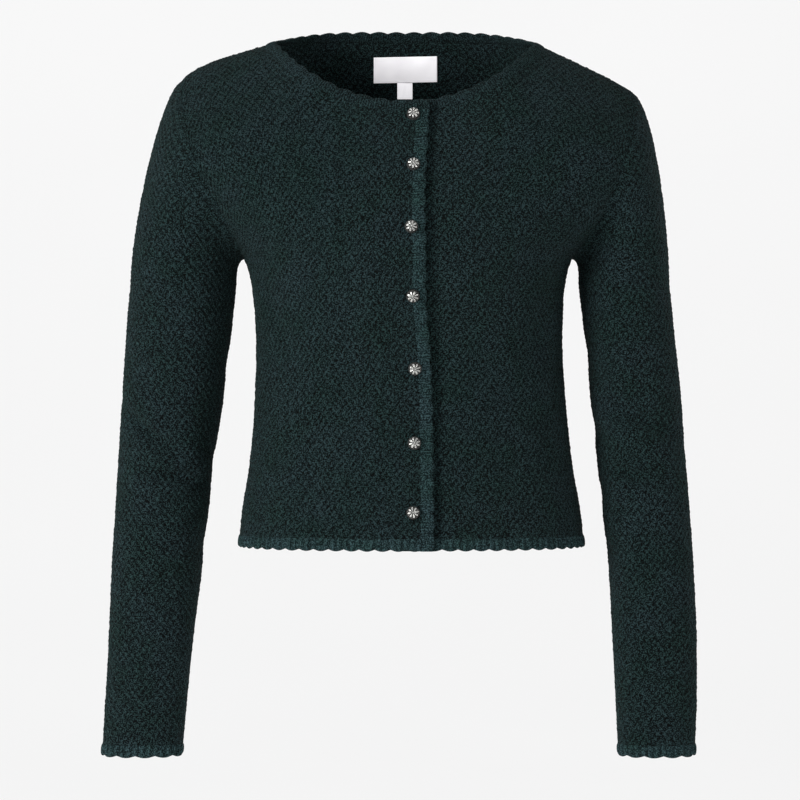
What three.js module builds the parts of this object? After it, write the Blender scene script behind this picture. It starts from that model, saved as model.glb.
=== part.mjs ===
// A short button-through cardigan, hollow and filled out as worn, with no wearer.
// Millimetres. The front faces -Y and +Z is up. z = 0 is the neck point on the shoulder ridge.
// "left" and "right" are the viewer's, so the wearer's right front is on the viewer's left.
import * as THREE from 'three';
import { mergeVertices } from 'three/addons/utils/BufferGeometryUtils.js';

// Cloth and seams
const WALL = 2.4;              // knitted cloth, double moss stitch
const SEAM_GAP = 0.3;          // between neighbouring pieces
const BAND_WIDTH = 11;         // hem and cuff bands
const NECK_BAND = 10;
const RIB_PITCH = 6.2;         // one rib and one furrow of the 1x1 rib
const RIB_HEIGHT = 0.8;

// Heights
const HEM_BOTTOM = -473;
const UNDERARM = -205;
const CUFF_BOTTOM = -665.5;
const CAP_END = -228;          // below this the sleeve is a plain tube

// Neckline: where the panels end, and how far the band reaches past them
const NECK_HALF_WIDTH = 130;
const FRONT_DROP = 74;
const BACK_RISE = 5;
const NECK_SCOOP = { front: 0.8, back: 4 };   // exponents of the two curves

// Front opening: the top front laps over the under front
const LAP_LIFT = 4.1;          // the top front stands out over the under front
const LAP_FROM = -62;          // the lift starts here and is full at LAP_FULL
const LAP_FULL = -22;
const STRIP_WIDTH = 12;        // ribbed strip along each front edge
const UNDER_EDGE = -8;         // hidden edge of the under front
const STRIP_SCALLOP = 17;

// Scallops: the pitch and depth of the small arcs along each free edge
const HEM_SCALLOP = 14.5;
const NECK_SCALLOP = 18;
const CUFF_SCALLOP = 3 * RIB_PITCH;
const SCALLOP_DEPTH = 1.8;

// Torso, from the hem up: half widths to the side seams, or to the armholes above the underarm,
// and depths in front of and behind the plane of the side seams
const TORSO = [
  { z: -480, left: 156, right: 168, front: 111, back: 113 },
  { z: -439, left: 152, right: 163.5, front: 108, back: 109 },
  { z: -402, left: 146, right: 157, front: 104, back: 103 },
  { z: -365, left: 142, right: 152.5, front: 100, back: 98 },
  { z: -327, left: 140, right: 149, front: 98, back: 94 },
  { z: -290, left: 139, right: 147, front: 102, back: 95 },
  { z: -252, left: 140.5, right: 147.5, front: 111, back: 99 },
  { z: -225, left: 144, right: 150, front: 117, back: 103 },
  { z: -205, left: 150, right: 156, front: 119, back: 105 },
  { z: -190, left: 157, right: 167, front: 119, back: 106 },
  { z: -158, left: 173, right: 186, front: 115, back: 106 },
  { z: -120, left: 191, right: 201, front: 105, back: 103 },
  { z: -85, left: 203, right: 211, front: 94, back: 97 },
  { z: -48, left: 209, right: 215, front: 82, back: 88 },
  { z: 0, left: 212, right: 218, front: 68, back: 73 },
  { z: 40, left: 214, right: 220, front: 60, back: 62 },
];
const TORSO_ROUNDNESS = 2.3;   // exponent of the superellipse rings
const ARMHOLE_DEPTH = 0.64;    // share of the torso's depth that the armhole edge keeps
const ARMHOLE_RISE = 110;      // that share is reached this far above the underarm
const ARMHOLE_TOP = 0.8;       // share of the armhole's height where its edge turns to the shoulder point
const ARMHOLE_MITER = { out: 0.45, forward: 1.1, up: 0.9 };   // direction across the wall at the armhole
const FOLD_FULL = 40;          // folds fade where the torso is shallower than this

// Shoulder ridge: its height at a distance from the middle. Inside the neck it is a guide only
const RIDGE = [
  { x: 0, left: 80, right: 80 },
  { x: 50, left: 62, right: 62 },
  { x: 80, left: 40, right: 40 },
  { x: 100, left: 20, right: 19 },
  { x: 110, left: 8, right: 6 },
  { x: 120, left: -1, right: -2 },
  { x: 140, left: -8, right: -12 },
  { x: 160, left: -14, right: -21.5 },
  { x: 180, left: -20.5, right: -31 },
  { x: 200, left: -30.5, right: -41.5 },
  { x: 210, left: -40, right: -47.5 },
  { x: 220, left: -56, right: -57 },
];
const RIDGE_ROUNDING = 95;     // depth below the ridge over which the shoulder rounds off
const SHOULDER_POINT = { left: 209, right: 213 };

// Outer edge of the top front, which wanders a little down the opening
const FRONT_EDGE = [
  { z: -480, x: 26.5 },
  { z: -400, x: 26 },
  { z: -340, x: 25 },
  { z: -300, x: 23.5 },
  { z: -250, x: 19.5 },
  { z: -200, x: 19 },
  { z: -150, x: 18.5 },
  { z: -60, x: 23 },
];

// Sleeve rings: middle, half width and half depth at a height
const SLEEVES = {
  left: [
    { z: -228, x: -207, y: 0, width: 49.5, depth: 50 },
    { z: -271, x: -211, y: -2, width: 49, depth: 49 },
    { z: -327, x: -216, y: -3, width: 47.5, depth: 46 },
    { z: -383, x: -221.5, y: -5, width: 45.5, depth: 43 },
    { z: -439, x: -226.5, y: -9, width: 43.5, depth: 40 },
    { z: -495, x: -231, y: -14, width: 42, depth: 37 },
    { z: -552, x: -235.5, y: -19, width: 39.5, depth: 33 },
    { z: -608, x: -239.5, y: -24, width: 38, depth: 29 },
    { z: -664, x: -243.5, y: -28, width: 37.2, depth: 26 },
    { z: -680, x: -244.5, y: -29, width: 37, depth: 26 },
  ],
  right: [
    { z: -228, x: 204.5, y: 0, width: 42.3, depth: 54 },
    { z: -271, x: 209, y: -2, width: 42, depth: 53 },
    { z: -327, x: 214.5, y: -3, width: 42.3, depth: 49 },
    { z: -383, x: 219.5, y: -5, width: 41.5, depth: 45 },
    { z: -439, x: 224.5, y: -9, width: 40.7, depth: 41 },
    { z: -495, x: 229, y: -14, width: 39.5, depth: 38 },
    { z: -552, x: 231.5, y: -19, width: 39.2, depth: 33 },
    { z: -608, x: 232.7, y: -24, width: 37.8, depth: 29 },
    { z: -664, x: 232.9, y: -28, width: 35.6, depth: 27 },
    { z: -680, x: 232.9, y: -29, width: 35.2, depth: 27 },
  ],
};
const SLEEVE_ROUNDNESS = 2.15;
const CAP_LENGTH = { start: 70, end: 140 };  // how strongly the cap leaves the armhole and turns down
const FOLD_FADE = { from: -10, to: 40 };     // sleeve folds fade in this far below the cap

// Sleeve folds: height, angle round the sleeve from the inside (0) by the front (90) to the outside (180),
// half reach in height and degrees, depth, and how far the fold drops per degree
const SLEEVE_FOLDS = {
  left: [
    { z: -382, angle: 20, high: 13, wide: 70, depth: 4.5, slant: 0.35 },
    { z: -422, angle: 40, high: 12, wide: 60, depth: 3.5, slant: -0.3 },
    { z: -338, angle: 70, high: 16, wide: 55, depth: 2.5, slant: 0.4 },
    { z: -470, angle: 0, high: 14, wide: 60, depth: 3, slant: 0.2 },
    { z: -300, angle: 10, high: 16, wide: 60, depth: 3, slant: 0.3 },
  ],
  right: [
    { z: -375, angle: 30, high: 13, wide: 70, depth: 4.5, slant: -0.35 },
    { z: -418, angle: 15, high: 12, wide: 65, depth: 3.8, slant: 0.3 },
    { z: -330, angle: 60, high: 16, wide: 55, depth: 2.5, slant: -0.35 },
    { z: -465, angle: 40, high: 14, wide: 55, depth: 2.8, slant: 0.25 },
    { z: -290, angle: 0, high: 16, wide: 60, depth: 3, slant: 0.3 },
  ],
};

// Body folds, soft troughs that fan out from the underarms: where each is deepest on the front or back,
// its half length and half width, its lean from the vertical in degrees, and its depth
const BODY_FOLDS = [
  { face: 'front', x: -132, z: -232, long: 48, wide: 9, lean: -24, depth: 3.5 },
  { face: 'front', x: -118, z: -262, long: 52, wide: 11, lean: -10, depth: 2.4 },
  { face: 'front', x: 140, z: -232, long: 46, wide: 9, lean: 22, depth: 3.2 },
  { face: 'front', x: 124, z: -270, long: 55, wide: 12, lean: 8, depth: 2.2 },
  { face: 'front', x: -84, z: -395, long: 60, wide: 16, lean: 6, depth: 1.8 },
  { face: 'front', x: 96, z: -400, long: 62, wide: 16, lean: -7, depth: 1.8 },
  { face: 'back', x: -126, z: -236, long: 46, wide: 10, lean: -20, depth: 3.2 },
  { face: 'back', x: 132, z: -238, long: 46, wide: 10, lean: 20, depth: 3.2 },
  { face: 'back', x: -40, z: -330, long: 70, wide: 18, lean: 4, depth: 2.2 },
  { face: 'back', x: 46, z: -340, long: 66, wide: 18, lean: -5, depth: 2.0 },
];

// Buttons: their heights down the opening, on the line of the wearer's middle
const BUTTONS = [
  { z: -78.3, x: 7.4 },
  { z: -124.7, x: 7.4 },
  { z: -181.2, x: 5.5 },
  { z: -242.8, x: 6.8 },
  { z: -308.2, x: 8.8 },
  { z: -375.7, x: 8.2 },
  { z: -438.2, x: 7 },
];
const BUTTON_DIAMETER = 12;
const BUTTON_HEIGHT = 5.5;
const BUTTON_SIDES = 12;
const BUTTON_PROFILE = [[0, 0], [0.8, 0], [1, 0.22], [0.86, 0.6], [0.52, 0.88], [0, 1]];  // shares

// Neck label and size tab, flat strips sewn inside the back neck
const LABEL = { x: 0.5, width: 61, top: -7, height: 24, thickness: 0.8, columns: 8 };
const TAB = { x: 0, width: 14.5, top: -31.5, height: 15, thickness: 0.8, columns: 2 };
const LABEL_CLEARANCE = 0.7;   // from the inside of the back panel, which is faceted

// How finely the pieces are drawn
const ROWS = { below: 10, above: 10 };   // panel rows below and above the underarm
const COLUMNS = { front: 10, back: 20, neckShare: 0.6 };
const SLEEVE_RINGS = { cap: 6, tube: 20 };
const BAND_STEP = 5.2;         // along the neckband and the strips
const SAME_POINT = 1e-4;       // points nearer than this are joined
const ON_RIDGE = 1;            // a point nearer the shoulder seam's plane than this is on the seam
const NORMAL_STEP = 4;         // half the span over which the torso's slope is read

const COLOURS = { wool: 0x1d3536, band: 0x21393a, metal: 0xa8a69f, label: 0xe9e8e4 };

const clamp = THREE.MathUtils.clamp;
const lerp = THREE.MathUtils.lerp;
const radians = THREE.MathUtils.degToRad;
const smooth = THREE.MathUtils.smoothstep;
const signedPower = (value, power) => Math.sign(value) * Math.abs(value) ** power;

// Reads a column of a table at a place, as a smooth curve through its rows
function read(table, axis, column, at) {
  const up = table[table.length - 1][axis] > table[0][axis] ? 1 : -1;
  let i = 0;
  while (i < table.length - 2 && (table[i + 1][axis] - at) * up < 0) i += 1;
  const slope = (k) => {
    const a = table[Math.max(k - 1, 0)];
    const b = table[Math.min(k + 1, table.length - 1)];
    return (b[column] - a[column]) / (b[axis] - a[axis]);
  };
  const a = table[i];
  const b = table[i + 1];
  const span = b[axis] - a[axis];
  const t = clamp((at - a[axis]) / span, 0, 1);
  const start = (2 * t ** 3 - 3 * t ** 2 + 1) * a[column] + (t ** 3 - 2 * t ** 2 + t) * span * slope(i);
  return start + (3 * t ** 2 - 2 * t ** 3) * b[column] + (t ** 3 - t ** 2) * span * slope(i + 1);
}

const ridgeHeight = (side, reach) => read(RIDGE, 'x', side, Math.abs(reach));
const sideReach = (side, z) => read(TORSO, 'z', side, z);

// Share of the depth kept at the side: none below the underarm, then it rises round the armhole
function heldDepth(z) {
  const t = clamp((z - UNDERARM) / ARMHOLE_RISE, 0, 1);
  return ARMHOLE_DEPTH * Math.sqrt(1 - (1 - t) ** 2);
}

// Depth of the fold troughs at a place on the front or back
function bodyFold(face, x, z) {
  let depth = 0;
  for (const fold of BODY_FOLDS) {
    if (fold.face !== face) continue;
    const lean = radians(fold.lean);
    const along = (z - fold.z) * Math.cos(lean) + (x - fold.x) * Math.sin(lean);
    const across = (x - fold.x) * Math.cos(lean) - (z - fold.z) * Math.sin(lean);
    depth += fold.depth * Math.exp(-((along / fold.long) ** 2) - (across / fold.wide) ** 2);
  }
  return depth;
}

// A point of the torso's outer surface at x and z, on the front or the back
function torsoPoint(face, x, z) {
  const side = x < 0 ? 'left' : 'right';
  const held = heldDepth(z) ** TORSO_ROUNDNESS;
  const share = clamp(Math.abs(x) / sideReach(side, z), 0, 1) ** TORSO_ROUNDNESS;
  const bend = Math.max(1 - (1 - held) * share, 0) ** (1 / TORSO_ROUNDNESS);
  const below = clamp((ridgeHeight(side, x) - z) / RIDGE_ROUNDING, 0, 1);
  const rounding = Math.sqrt(1 - (1 - below) ** 2);
  const depth = read(TORSO, 'z', face, z) * rounding * bend;
  const trough = bodyFold(face, x, z) * Math.min(depth / FOLD_FULL, 1);
  const y = face === 'front' ? trough - depth : depth - trough;
  return new THREE.Vector3(x, y, z);
}

// Neckline at a share of the way to the neck point: reach 0 is the panel's edge, 1 the band's edge
function neckPoint(face, side, share, reach) {
  const half = NECK_HALF_WIDTH - reach * NECK_BAND;
  const end = ridgeHeight(side, half);
  const x = half * share;
  const middle = (face === 'front' ? -FRONT_DROP : BACK_RISE) + reach * NECK_BAND;
  const scoop = face === 'front'
    ? Math.max(1 - share ** 2, 0) ** NECK_SCOOP.front : 1 - share ** NECK_SCOOP.back;
  return { x: side === 'left' ? -x : x, z: end + (middle - end) * scoop };
}

// Heights of the rows at one side of a panel, from the hem seam up
const panelBottom = HEM_BOTTOM + BAND_WIDTH + SEAM_GAP;
const rowCount = ROWS.below + ROWS.above;

// Small shift in y that parts the front from the back at the shoulder and side seams
const seamShift = (face) => (face === 'front' ? -SEAM_GAP / 2 : SEAM_GAP / 2);

// One half of a panel: columns run from `edge` (a function of z, measured outwards) to the side
function panelPoint(face, side, edge, column, row) {
  const sign = side === 'left' ? -1 : 1;
  if (row <= ROWS.below) {
    const z = lerp(panelBottom, UNDERARM, row / ROWS.below);
    const reach = sideReach(side, z);
    const start = Math.asin(signedPower(edge(z) / reach, TORSO_ROUNDNESS / 2));
    const turn = lerp(start, Math.PI / 2, column);
    return place(face, sign * reach * signedPower(Math.sin(turn), 2 / TORSO_ROUNDNESS), z);
  }
  const rise = (1 - Math.cos((Math.PI * (row - ROWS.below)) / ROWS.above)) / 2;
  const tip = SHOULDER_POINT[side];
  const share = column / COLUMNS.neckShare;
  const neckEdge = edge(-FRONT_DROP);
  let top;
  if (share <= 1) {
    const startShare = neckEdge / NECK_HALF_WIDTH;
    top = neckPoint(face, side, Math.sin(lerp(Math.asin(startShare), Math.PI / 2, share)), 0);
  } else {
    const x = lerp(NECK_HALF_WIDTH, tip, (column - COLUMNS.neckShare) / (1 - COLUMNS.neckShare));
    top = { x: sign * x, z: ridgeHeight(side, x) };
  }
  const z = lerp(UNDERARM, top.z, rise);
  const armholeZ = lerp(UNDERARM, ridgeHeight(side, tip), rise);
  const arm = sideReach(side, UNDERARM);
  const start = Math.asin(signedPower(edge(UNDERARM) / arm, TORSO_ROUNDNESS / 2));
  const low = signedPower(Math.sin(lerp(start, Math.PI / 2, column)), 2 / TORSO_ROUNDNESS) * arm;
  const lowShare = (low - edge(UNDERARM)) / (arm - edge(UNDERARM));
  const topShare = (sign * top.x - neckEdge) / (tip - neckEdge);
  const armEdge = lerp(sideReach(side, armholeZ), tip, smooth(rise, ARMHOLE_TOP, 1));
  const x = edge(z) + (armEdge - edge(z)) * lerp(lowShare, topShare, rise);
  return place(face, sign * x, z);
}

// Puts a torso point in its place, parted from the other face at the seams
function place(face, x, z) {
  const point = torsoPoint(face, x, z);
  point.y += seamShift(face);
  return point;
}

// Outward normals of a grid of points, from its neighbours
function gridNormals(grid, closed) {
  const rows = grid.length;
  return grid.map((line, j) => line.map((point, i) => {
    const count = line.length;
    const next = closed ? (i + 1) % count : Math.min(i + 1, count - 1);
    const last = closed ? (i + count - 1) % count : Math.max(i - 1, 0);
    const across = line[next].clone().sub(line[last]);
    const along = grid[Math.min(j + 1, rows - 1)][i].clone().sub(grid[Math.max(j - 1, 0)][i]);
    return across.cross(along).normalize();
  }));
}

// Closed wall between two grids of points; `closed` joins the last column to the first
function wallMesh(name, outer, inner, colour, closed = false) {
  const rows = outer.length;
  const columns = outer[0].length;
  const points = [...outer.flat(), ...inner.flat()];
  const at = (layer, j, i) => layer * rows * columns + j * columns + (i % columns);
  const faces = [];
  const quad = (a, b, c, d) => faces.push(a, b, c, a, c, d);
  const spans = closed ? columns : columns - 1;
  for (let j = 0; j < rows - 1; j += 1) {
    for (let i = 0; i < spans; i += 1) {
      quad(at(0, j, i), at(0, j, i + 1), at(0, j + 1, i + 1), at(0, j + 1, i));
      quad(at(1, j, i), at(1, j + 1, i), at(1, j + 1, i + 1), at(1, j, i + 1));
    }
  }
  for (let i = 0; i < spans; i += 1) {
    quad(at(0, 0, i), at(1, 0, i), at(1, 0, i + 1), at(0, 0, i + 1));
    quad(at(0, rows - 1, i), at(0, rows - 1, i + 1), at(1, rows - 1, i + 1), at(1, rows - 1, i));
  }
  for (let j = 0; !closed && j < rows - 1; j += 1) {
    quad(at(0, j, 0), at(0, j + 1, 0), at(1, j + 1, 0), at(1, j, 0));
    const end = columns - 1;
    quad(at(0, j, end), at(1, j, end), at(1, j + 1, end), at(0, j + 1, end));
  }
  return solidMesh(name, points, faces, colour);
}

function solidMesh(name, points, faces, colour) {
  const geometry = new THREE.BufferGeometry();
  geometry.setAttribute('position', new THREE.Float32BufferAttribute(points.flatMap((p) => p.toArray()), 3));
  geometry.setIndex(insideOut(points, faces) ? faces.toReversed() : faces);
  return meshOf(name, mergeVertices(geometry, SAME_POINT), colour);
}

// True when the faces turn inwards, by the sign of the enclosed volume
function insideOut(points, faces) {
  let volume = 0;
  for (let f = 0; f < faces.length; f += 3) {
    const [a, b, c] = faces.slice(f, f + 3).map((k) => points[k]);
    volume += a.dot(b.clone().cross(c));
  }
  return volume < 0;
}

function meshOf(name, geometry, colour) {
  const metal = colour === COLOURS.metal;
  const material = new THREE.MeshStandardMaterial({
    color: colour, roughness: metal ? 0.4 : 0.95, metalness: metal ? 0.9 : 0,
  });
  const mesh = new THREE.Mesh(geometry, material);
  mesh.name = name;
  return mesh;
}

// Grid of a front half panel
function frontGrid(side, edge, lifted) {
  const grid = [];
  for (let row = 0; row <= rowCount; row += 1) {
    const line = [];
    for (let i = 0; i <= COLUMNS.front; i += 1) {
      const point = panelPoint('front', side, edge, i / COLUMNS.front, row);
      if (lifted) point.y -= lapLift(point.x);
      line.push(point);
    }
    grid.push(line);
  }
  return grid;
}

const lapLift = (x) => LAP_LIFT * smooth(x, LAP_FROM, LAP_FULL);

// Grid of the back panel, from the left side to the right side
function backGrid() {
  const half = COLUMNS.back / 2;
  const grid = [];
  for (let row = 0; row <= rowCount; row += 1) {
    const line = [];
    for (let i = -half; i <= half; i += 1) {
      line.push(panelPoint('back', i < 0 ? 'left' : 'right', () => 0, Math.abs(i) / half, row));
    }
    grid.push(line);
  }
  return grid;
}

// Inner points of a panel. At the shoulder and side seams the wall ends square to the seam,
// and at the armhole it ends along the direction that the sleeve shares
function panelInner(grid, outward, armholes) {
  const normals = gridNormals(grid, false);
  return grid.map((line, j) => line.map((point, i) => {
    const normal = normals[j][i].clone().multiplyScalar(outward);
    for (const armhole of armholes) {
      if (i !== armhole.column) continue;
      if (j <= ROWS.below) normal.y = 0;
      if (j >= ROWS.below) normal.copy(armhole.miters[j - ROWS.below]);
    }
    if (j === rowCount && Math.abs(point.y) < ON_RIDGE) normal.y = 0;
    return point.clone().addScaledVector(normal.normalize(), -WALL);
  }));
}

// Sleeve ring at a height, without folds
function ringPoint(side, turn, z, y) {
  const ring = (column) => read(SLEEVES[side], 'z', column, z);
  const inwards = side === 'left' ? 1 : -1;
  const across = signedPower(Math.cos(turn), 2 / SLEEVE_ROUNDNESS);
  const depth = signedPower(Math.sin(turn), 2 / SLEEVE_ROUNDNESS) * (y < 0 ? -1 : 1);
  return new THREE.Vector3(ring('x') + inwards * ring('width') * across, ring('y') + ring('depth') * depth, z);
}

// Depth of the sleeve's folds at a height and an angle from the inside by the front
function sleeveFold(side, turn, z) {
  let depth = 0;
  for (const fold of SLEEVE_FOLDS[side]) {
    const away = ((turn - fold.angle + 540) % 360) - 180;
    const high = (z - fold.z - fold.slant * away) / fold.high;
    depth += fold.depth * Math.exp(-(high ** 2) - (away / fold.wide) ** 2);
  }
  return depth;
}

// Armhole loop of one side: the front panel's edge going up, then the back panel's coming down,
// with the direction across the wall that the panel and the sleeve share
function armholeLoop(side, front, back) {
  const frontColumn = COLUMNS.front;
  const backColumn = side === 'left' ? 0 : COLUMNS.back;
  const loop = [];
  const add = (grid, column, j, face) => {
    const point = grid[ROWS.below + j][column];
    loop.push({ point, face, turn: (Math.PI * j) / ROWS.above, row: j });
  };
  for (let j = 0; j <= ROWS.above; j += 1) add(front, frontColumn, j, 'front');
  for (let j = ROWS.above; j >= 0; j -= 1) add(back, backColumn, j, 'back');
  // the wall's direction turns from straight up at the underarm to square to the shoulder on top
  const outwards = side === 'left' ? -1 : 1;
  for (const stop of loop) {
    const lift = (1 - Math.cos(stop.turn)) / 2;
    const forward = (stop.face === 'front' ? -1 : 1) * Math.sin(stop.turn);
    const { out, forward: share, up } = ARMHOLE_MITER;
    stop.miter = new THREE.Vector3(outwards * out * lift, forward * share, lerp(-1, up, lift)).normalize();
  }
  return loop;
}

function sleeveGrids(side, loop) {
  const outwards = side === 'left' ? -1 : 1;
  const outer = [];
  const inner = [];
  const starts = loop.map((stop, k) => {
    const before = loop[Math.max(k - 1, 0)].point;
    const after = loop[Math.min(k + 1, loop.length - 1)].point;
    const away = after.clone().sub(before).cross(stop.miter).normalize();
    if (away.x * outwards < 0) away.negate();
    return { at: stop.point.clone().addScaledVector(away, SEAM_GAP), away, stop };
  });
  const tubeRing = (z) => loop.map((stop) => {
    const sign = stop.face === 'front' ? -1 : 1;
    const point = ringPoint(side, stop.turn, z, sign);
    const middle = new THREE.Vector3(read(SLEEVES[side], 'z', 'x', z), read(SLEEVES[side], 'z', 'y', z), z);
    const angle = THREE.MathUtils.radToDeg(stop.turn) * (sign < 0 ? 1 : -1);
    const fade = smooth(CAP_END - z, FOLD_FADE.from, FOLD_FADE.to);
    return point.addScaledVector(middle.sub(point).normalize(), fade * sleeveFold(side, angle, z));
  });
  const capEnd = tubeRing(CAP_END);
  for (let r = 0; r < SLEEVE_RINGS.cap; r += 1) {
    const t = r / SLEEVE_RINGS.cap;
    outer.push(starts.map(({ at, away }, k) => capCurve(at, away, capEnd[k], t)));
  }
  const tubeBottom = CUFF_BOTTOM + BAND_WIDTH + SEAM_GAP;
  for (let r = 0; r <= SLEEVE_RINGS.tube; r += 1) {
    outer.push(tubeRing(lerp(CAP_END, tubeBottom, r / SLEEVE_RINGS.tube)));
  }
  const normals = sleeveNormals(outer, side);
  outer.forEach((ring, j) => {
    inner.push(ring.map((point, k) => {
      const direction = j === 0 ? starts[k].stop.miter : normals[j][k];
      return point.clone().addScaledVector(direction, -WALL);
    }));
  });
  return { outer, inner };
}

// The cap leaves the armhole square to its edge and turns down into the tube
function capCurve(start, away, end, t) {
  const span = start.distanceTo(end);
  const leave = Math.min(CAP_LENGTH.start, span);
  const arrive = Math.min(CAP_LENGTH.end, span);
  const point = start.clone().multiplyScalar(2 * t ** 3 - 3 * t ** 2 + 1);
  point.addScaledVector(away, (t ** 3 - 2 * t ** 2 + t) * leave);
  point.addScaledVector(end, 3 * t ** 2 - 2 * t ** 3);
  point.z -= (t ** 3 - t ** 2) * arrive;
  return point;
}

function sleeveNormals(grid, side) {
  return gridNormals(grid, true).map((line, j) => line.map((normal, k) => {
    const middle = grid[j].reduce((sum, p) => sum.add(p), new THREE.Vector3()).divideScalar(grid[j].length);
    const outwards = grid[j][k].clone().sub(middle);
    return normal.dot(outwards) < 0 ? normal.negate() : normal;
  }));
}

const model = new THREE.Group();

const topEdge = (z) => -(read(FRONT_EDGE, 'z', 'x', z) - STRIP_WIDTH);
const underEdge = () => UNDER_EDGE + STRIP_WIDTH;
const rightFront = frontGrid('left', topEdge, true);
const leftFront = frontGrid('right', underEdge, false);
const back = backGrid();
const leftLoop = armholeLoop('left', rightFront, back);
const rightLoop = armholeLoop('right', leftFront, back);
const halfMiters = (loop, face) => {
  const half = loop.filter((stop) => stop.face === face).sort((a, b) => a.row - b.row);
  return half.map((stop) => stop.miter);
};

const rightFrontInner = panelInner(rightFront, -1,
  [{ column: COLUMNS.front, miters: halfMiters(leftLoop, 'front') }]);
const leftFrontInner = panelInner(leftFront, 1,
  [{ column: COLUMNS.front, miters: halfMiters(rightLoop, 'front') }]);
const backInner = panelInner(back, -1, [
  { column: 0, miters: halfMiters(leftLoop, 'back') },
  { column: COLUMNS.back, miters: halfMiters(rightLoop, 'back') }]);
model.add(wallMesh('right_front', rightFront, rightFrontInner, COLOURS.wool));
model.add(wallMesh('left_front', leftFront, leftFrontInner, COLOURS.wool));
model.add(wallMesh('back', back, backInner, COLOURS.wool));

for (const [name, side, loop] of [['right_sleeve', 'left', leftLoop], ['left_sleeve', 'right', rightLoop]]) {
  const { outer, inner } = sleeveGrids(side, loop);
  model.add(wallMesh(name, outer, inner, COLOURS.wool, true));
}

// Small arcs along a free edge: 0 at the tip of an arc and 1 in the notch between two
const scallop = (along, pitch) => 1 - Math.abs(Math.sin((Math.PI * along) / pitch));

// Places evenly spaced along a curve, an even number of steps so that ribs and furrows alternate
function evenSteps(curve, step, samples = 400) {
  const marks = Array.from({ length: samples + 1 }, (_, k) => curve(k / samples));
  const lengths = [0];
  for (let k = 1; k <= samples; k += 1) lengths.push(lengths[k - 1] + marks[k].distanceTo(marks[k - 1]));
  const total = lengths[samples];
  const count = 2 * Math.round(total / step / 2);
  const stops = [];
  let k = 0;
  for (let n = 0; n <= count; n += 1) {
    const along = (total * n) / count;
    while (k < samples - 1 && lengths[k + 1] < along) k += 1;
    const share = (along - lengths[k]) / (lengths[k + 1] - lengths[k]);
    stops.push({ t: (k + clamp(share, 0, 1)) / samples, along, rib: n % 2 });
  }
  return stops;
}

// A 1x1 rib band: `curve(t, z)` gives its plain outer surface between two heights
function ribBand(name, curve, top, bottom, pitch, squareEnds, closed) {
  const stops = evenSteps((t) => curve(t, bottom), RIB_PITCH / 2);
  if (closed) stops.pop();
  const heights = [() => top, (along) => bottom + SCALLOP_DEPTH * scallop(along, pitch)];
  const plain = heights.map((height) => stops.map((stop) => curve(stop.t, height(stop.along))));
  let middle = new THREE.Vector3();
  plain[0].forEach((point) => middle.addScaledVector(point, 1 / plain[0].length));
  if (!closed) middle = new THREE.Vector3(0, 0, top);
  const normals = gridNormals(plain, closed).map((line, j) => line.map((normal, i) => {
    if (normal.dot(plain[j][i].clone().sub(middle).setZ(0)) < 0) normal.negate();
    if (squareEnds.includes(i === 0 ? 'first' : i === line.length - 1 ? 'last' : 'none')) normal.y = 0;
    return normal.setZ(0).normalize();
  }));
  const outer = plain.map((line, j) => line.map((point, i) => (
    point.clone().addScaledVector(normals[j][i], stops[i].rib * RIB_HEIGHT))));
  const inner = plain.map((line, j) => line.map((point, i) => (
    point.clone().addScaledVector(normals[j][i], -WALL))));
  return wallMesh(name, outer, inner, COLOURS.band, closed);
}

// Hem of one panel, from one turn of the torso ring to another: -90 is the left side seam, 90 the right
function hemBand(name, face, from, to, squareEnds, lifted = false) {
  const curve = (t, z) => {
    const turn = radians(lerp(from, to, t));
    const reach = sideReach(turn < 0 ? 'left' : 'right', z);
    const point = place(face, reach * signedPower(Math.sin(turn), 2 / TORSO_ROUNDNESS), z);
    if (lifted) point.y -= lapLift(point.x);
    return point;
  };
  return ribBand(name, curve, HEM_BOTTOM + BAND_WIDTH, HEM_BOTTOM, HEM_SCALLOP, squareEnds, false);
}

// Turn of the hem ring at an x
function hemTurn(x) {
  const reach = sideReach(x < 0 ? 'left' : 'right', HEM_BOTTOM);
  return THREE.MathUtils.radToDeg(Math.asin(signedPower(x / reach, TORSO_ROUNDNESS / 2)));
}

model.add(hemBand('back_hem', 'back', -90, 90, ['first', 'last']));
model.add(hemBand('right_front_hem', 'front', -90, hemTurn(-topEdge(HEM_BOTTOM) - SEAM_GAP), ['first'], true));
model.add(hemBand('left_front_hem', 'front', hemTurn(underEdge() + SEAM_GAP), 90, ['last']));

for (const [name, side] of [['right_cuff', 'left'], ['left_cuff', 'right']]) {
  const curve = (t, z) => ringPoint(side, 2 * Math.PI * t, z, 1);
  model.add(ribBand(name, curve, CUFF_BOTTOM + BAND_WIDTH, CUFF_BOTTOM, CUFF_SCALLOP, [], true));
}

// Points along the edge of a piece, cut finer, as pairs of an outer and an inner point
function cutFiner(stops) {
  const fine = [];
  for (let k = 0; k < stops.length - 1; k += 1) {
    const [a, b] = [stops[k], stops[k + 1]];
    const cuts = Math.max(Math.round(a.outer.distanceTo(b.outer) / BAND_STEP), 1);
    for (let n = 0; n < cuts; n += 1) {
      fine.push({ ...(n > 0 ? b : a), side: a.side,
        outer: a.outer.clone().lerp(b.outer, n / cuts), inner: a.inner.clone().lerp(b.inner, n / cuts) });
    }
  }
  fine.push(stops[stops.length - 1]);
  return fine;
}

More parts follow.
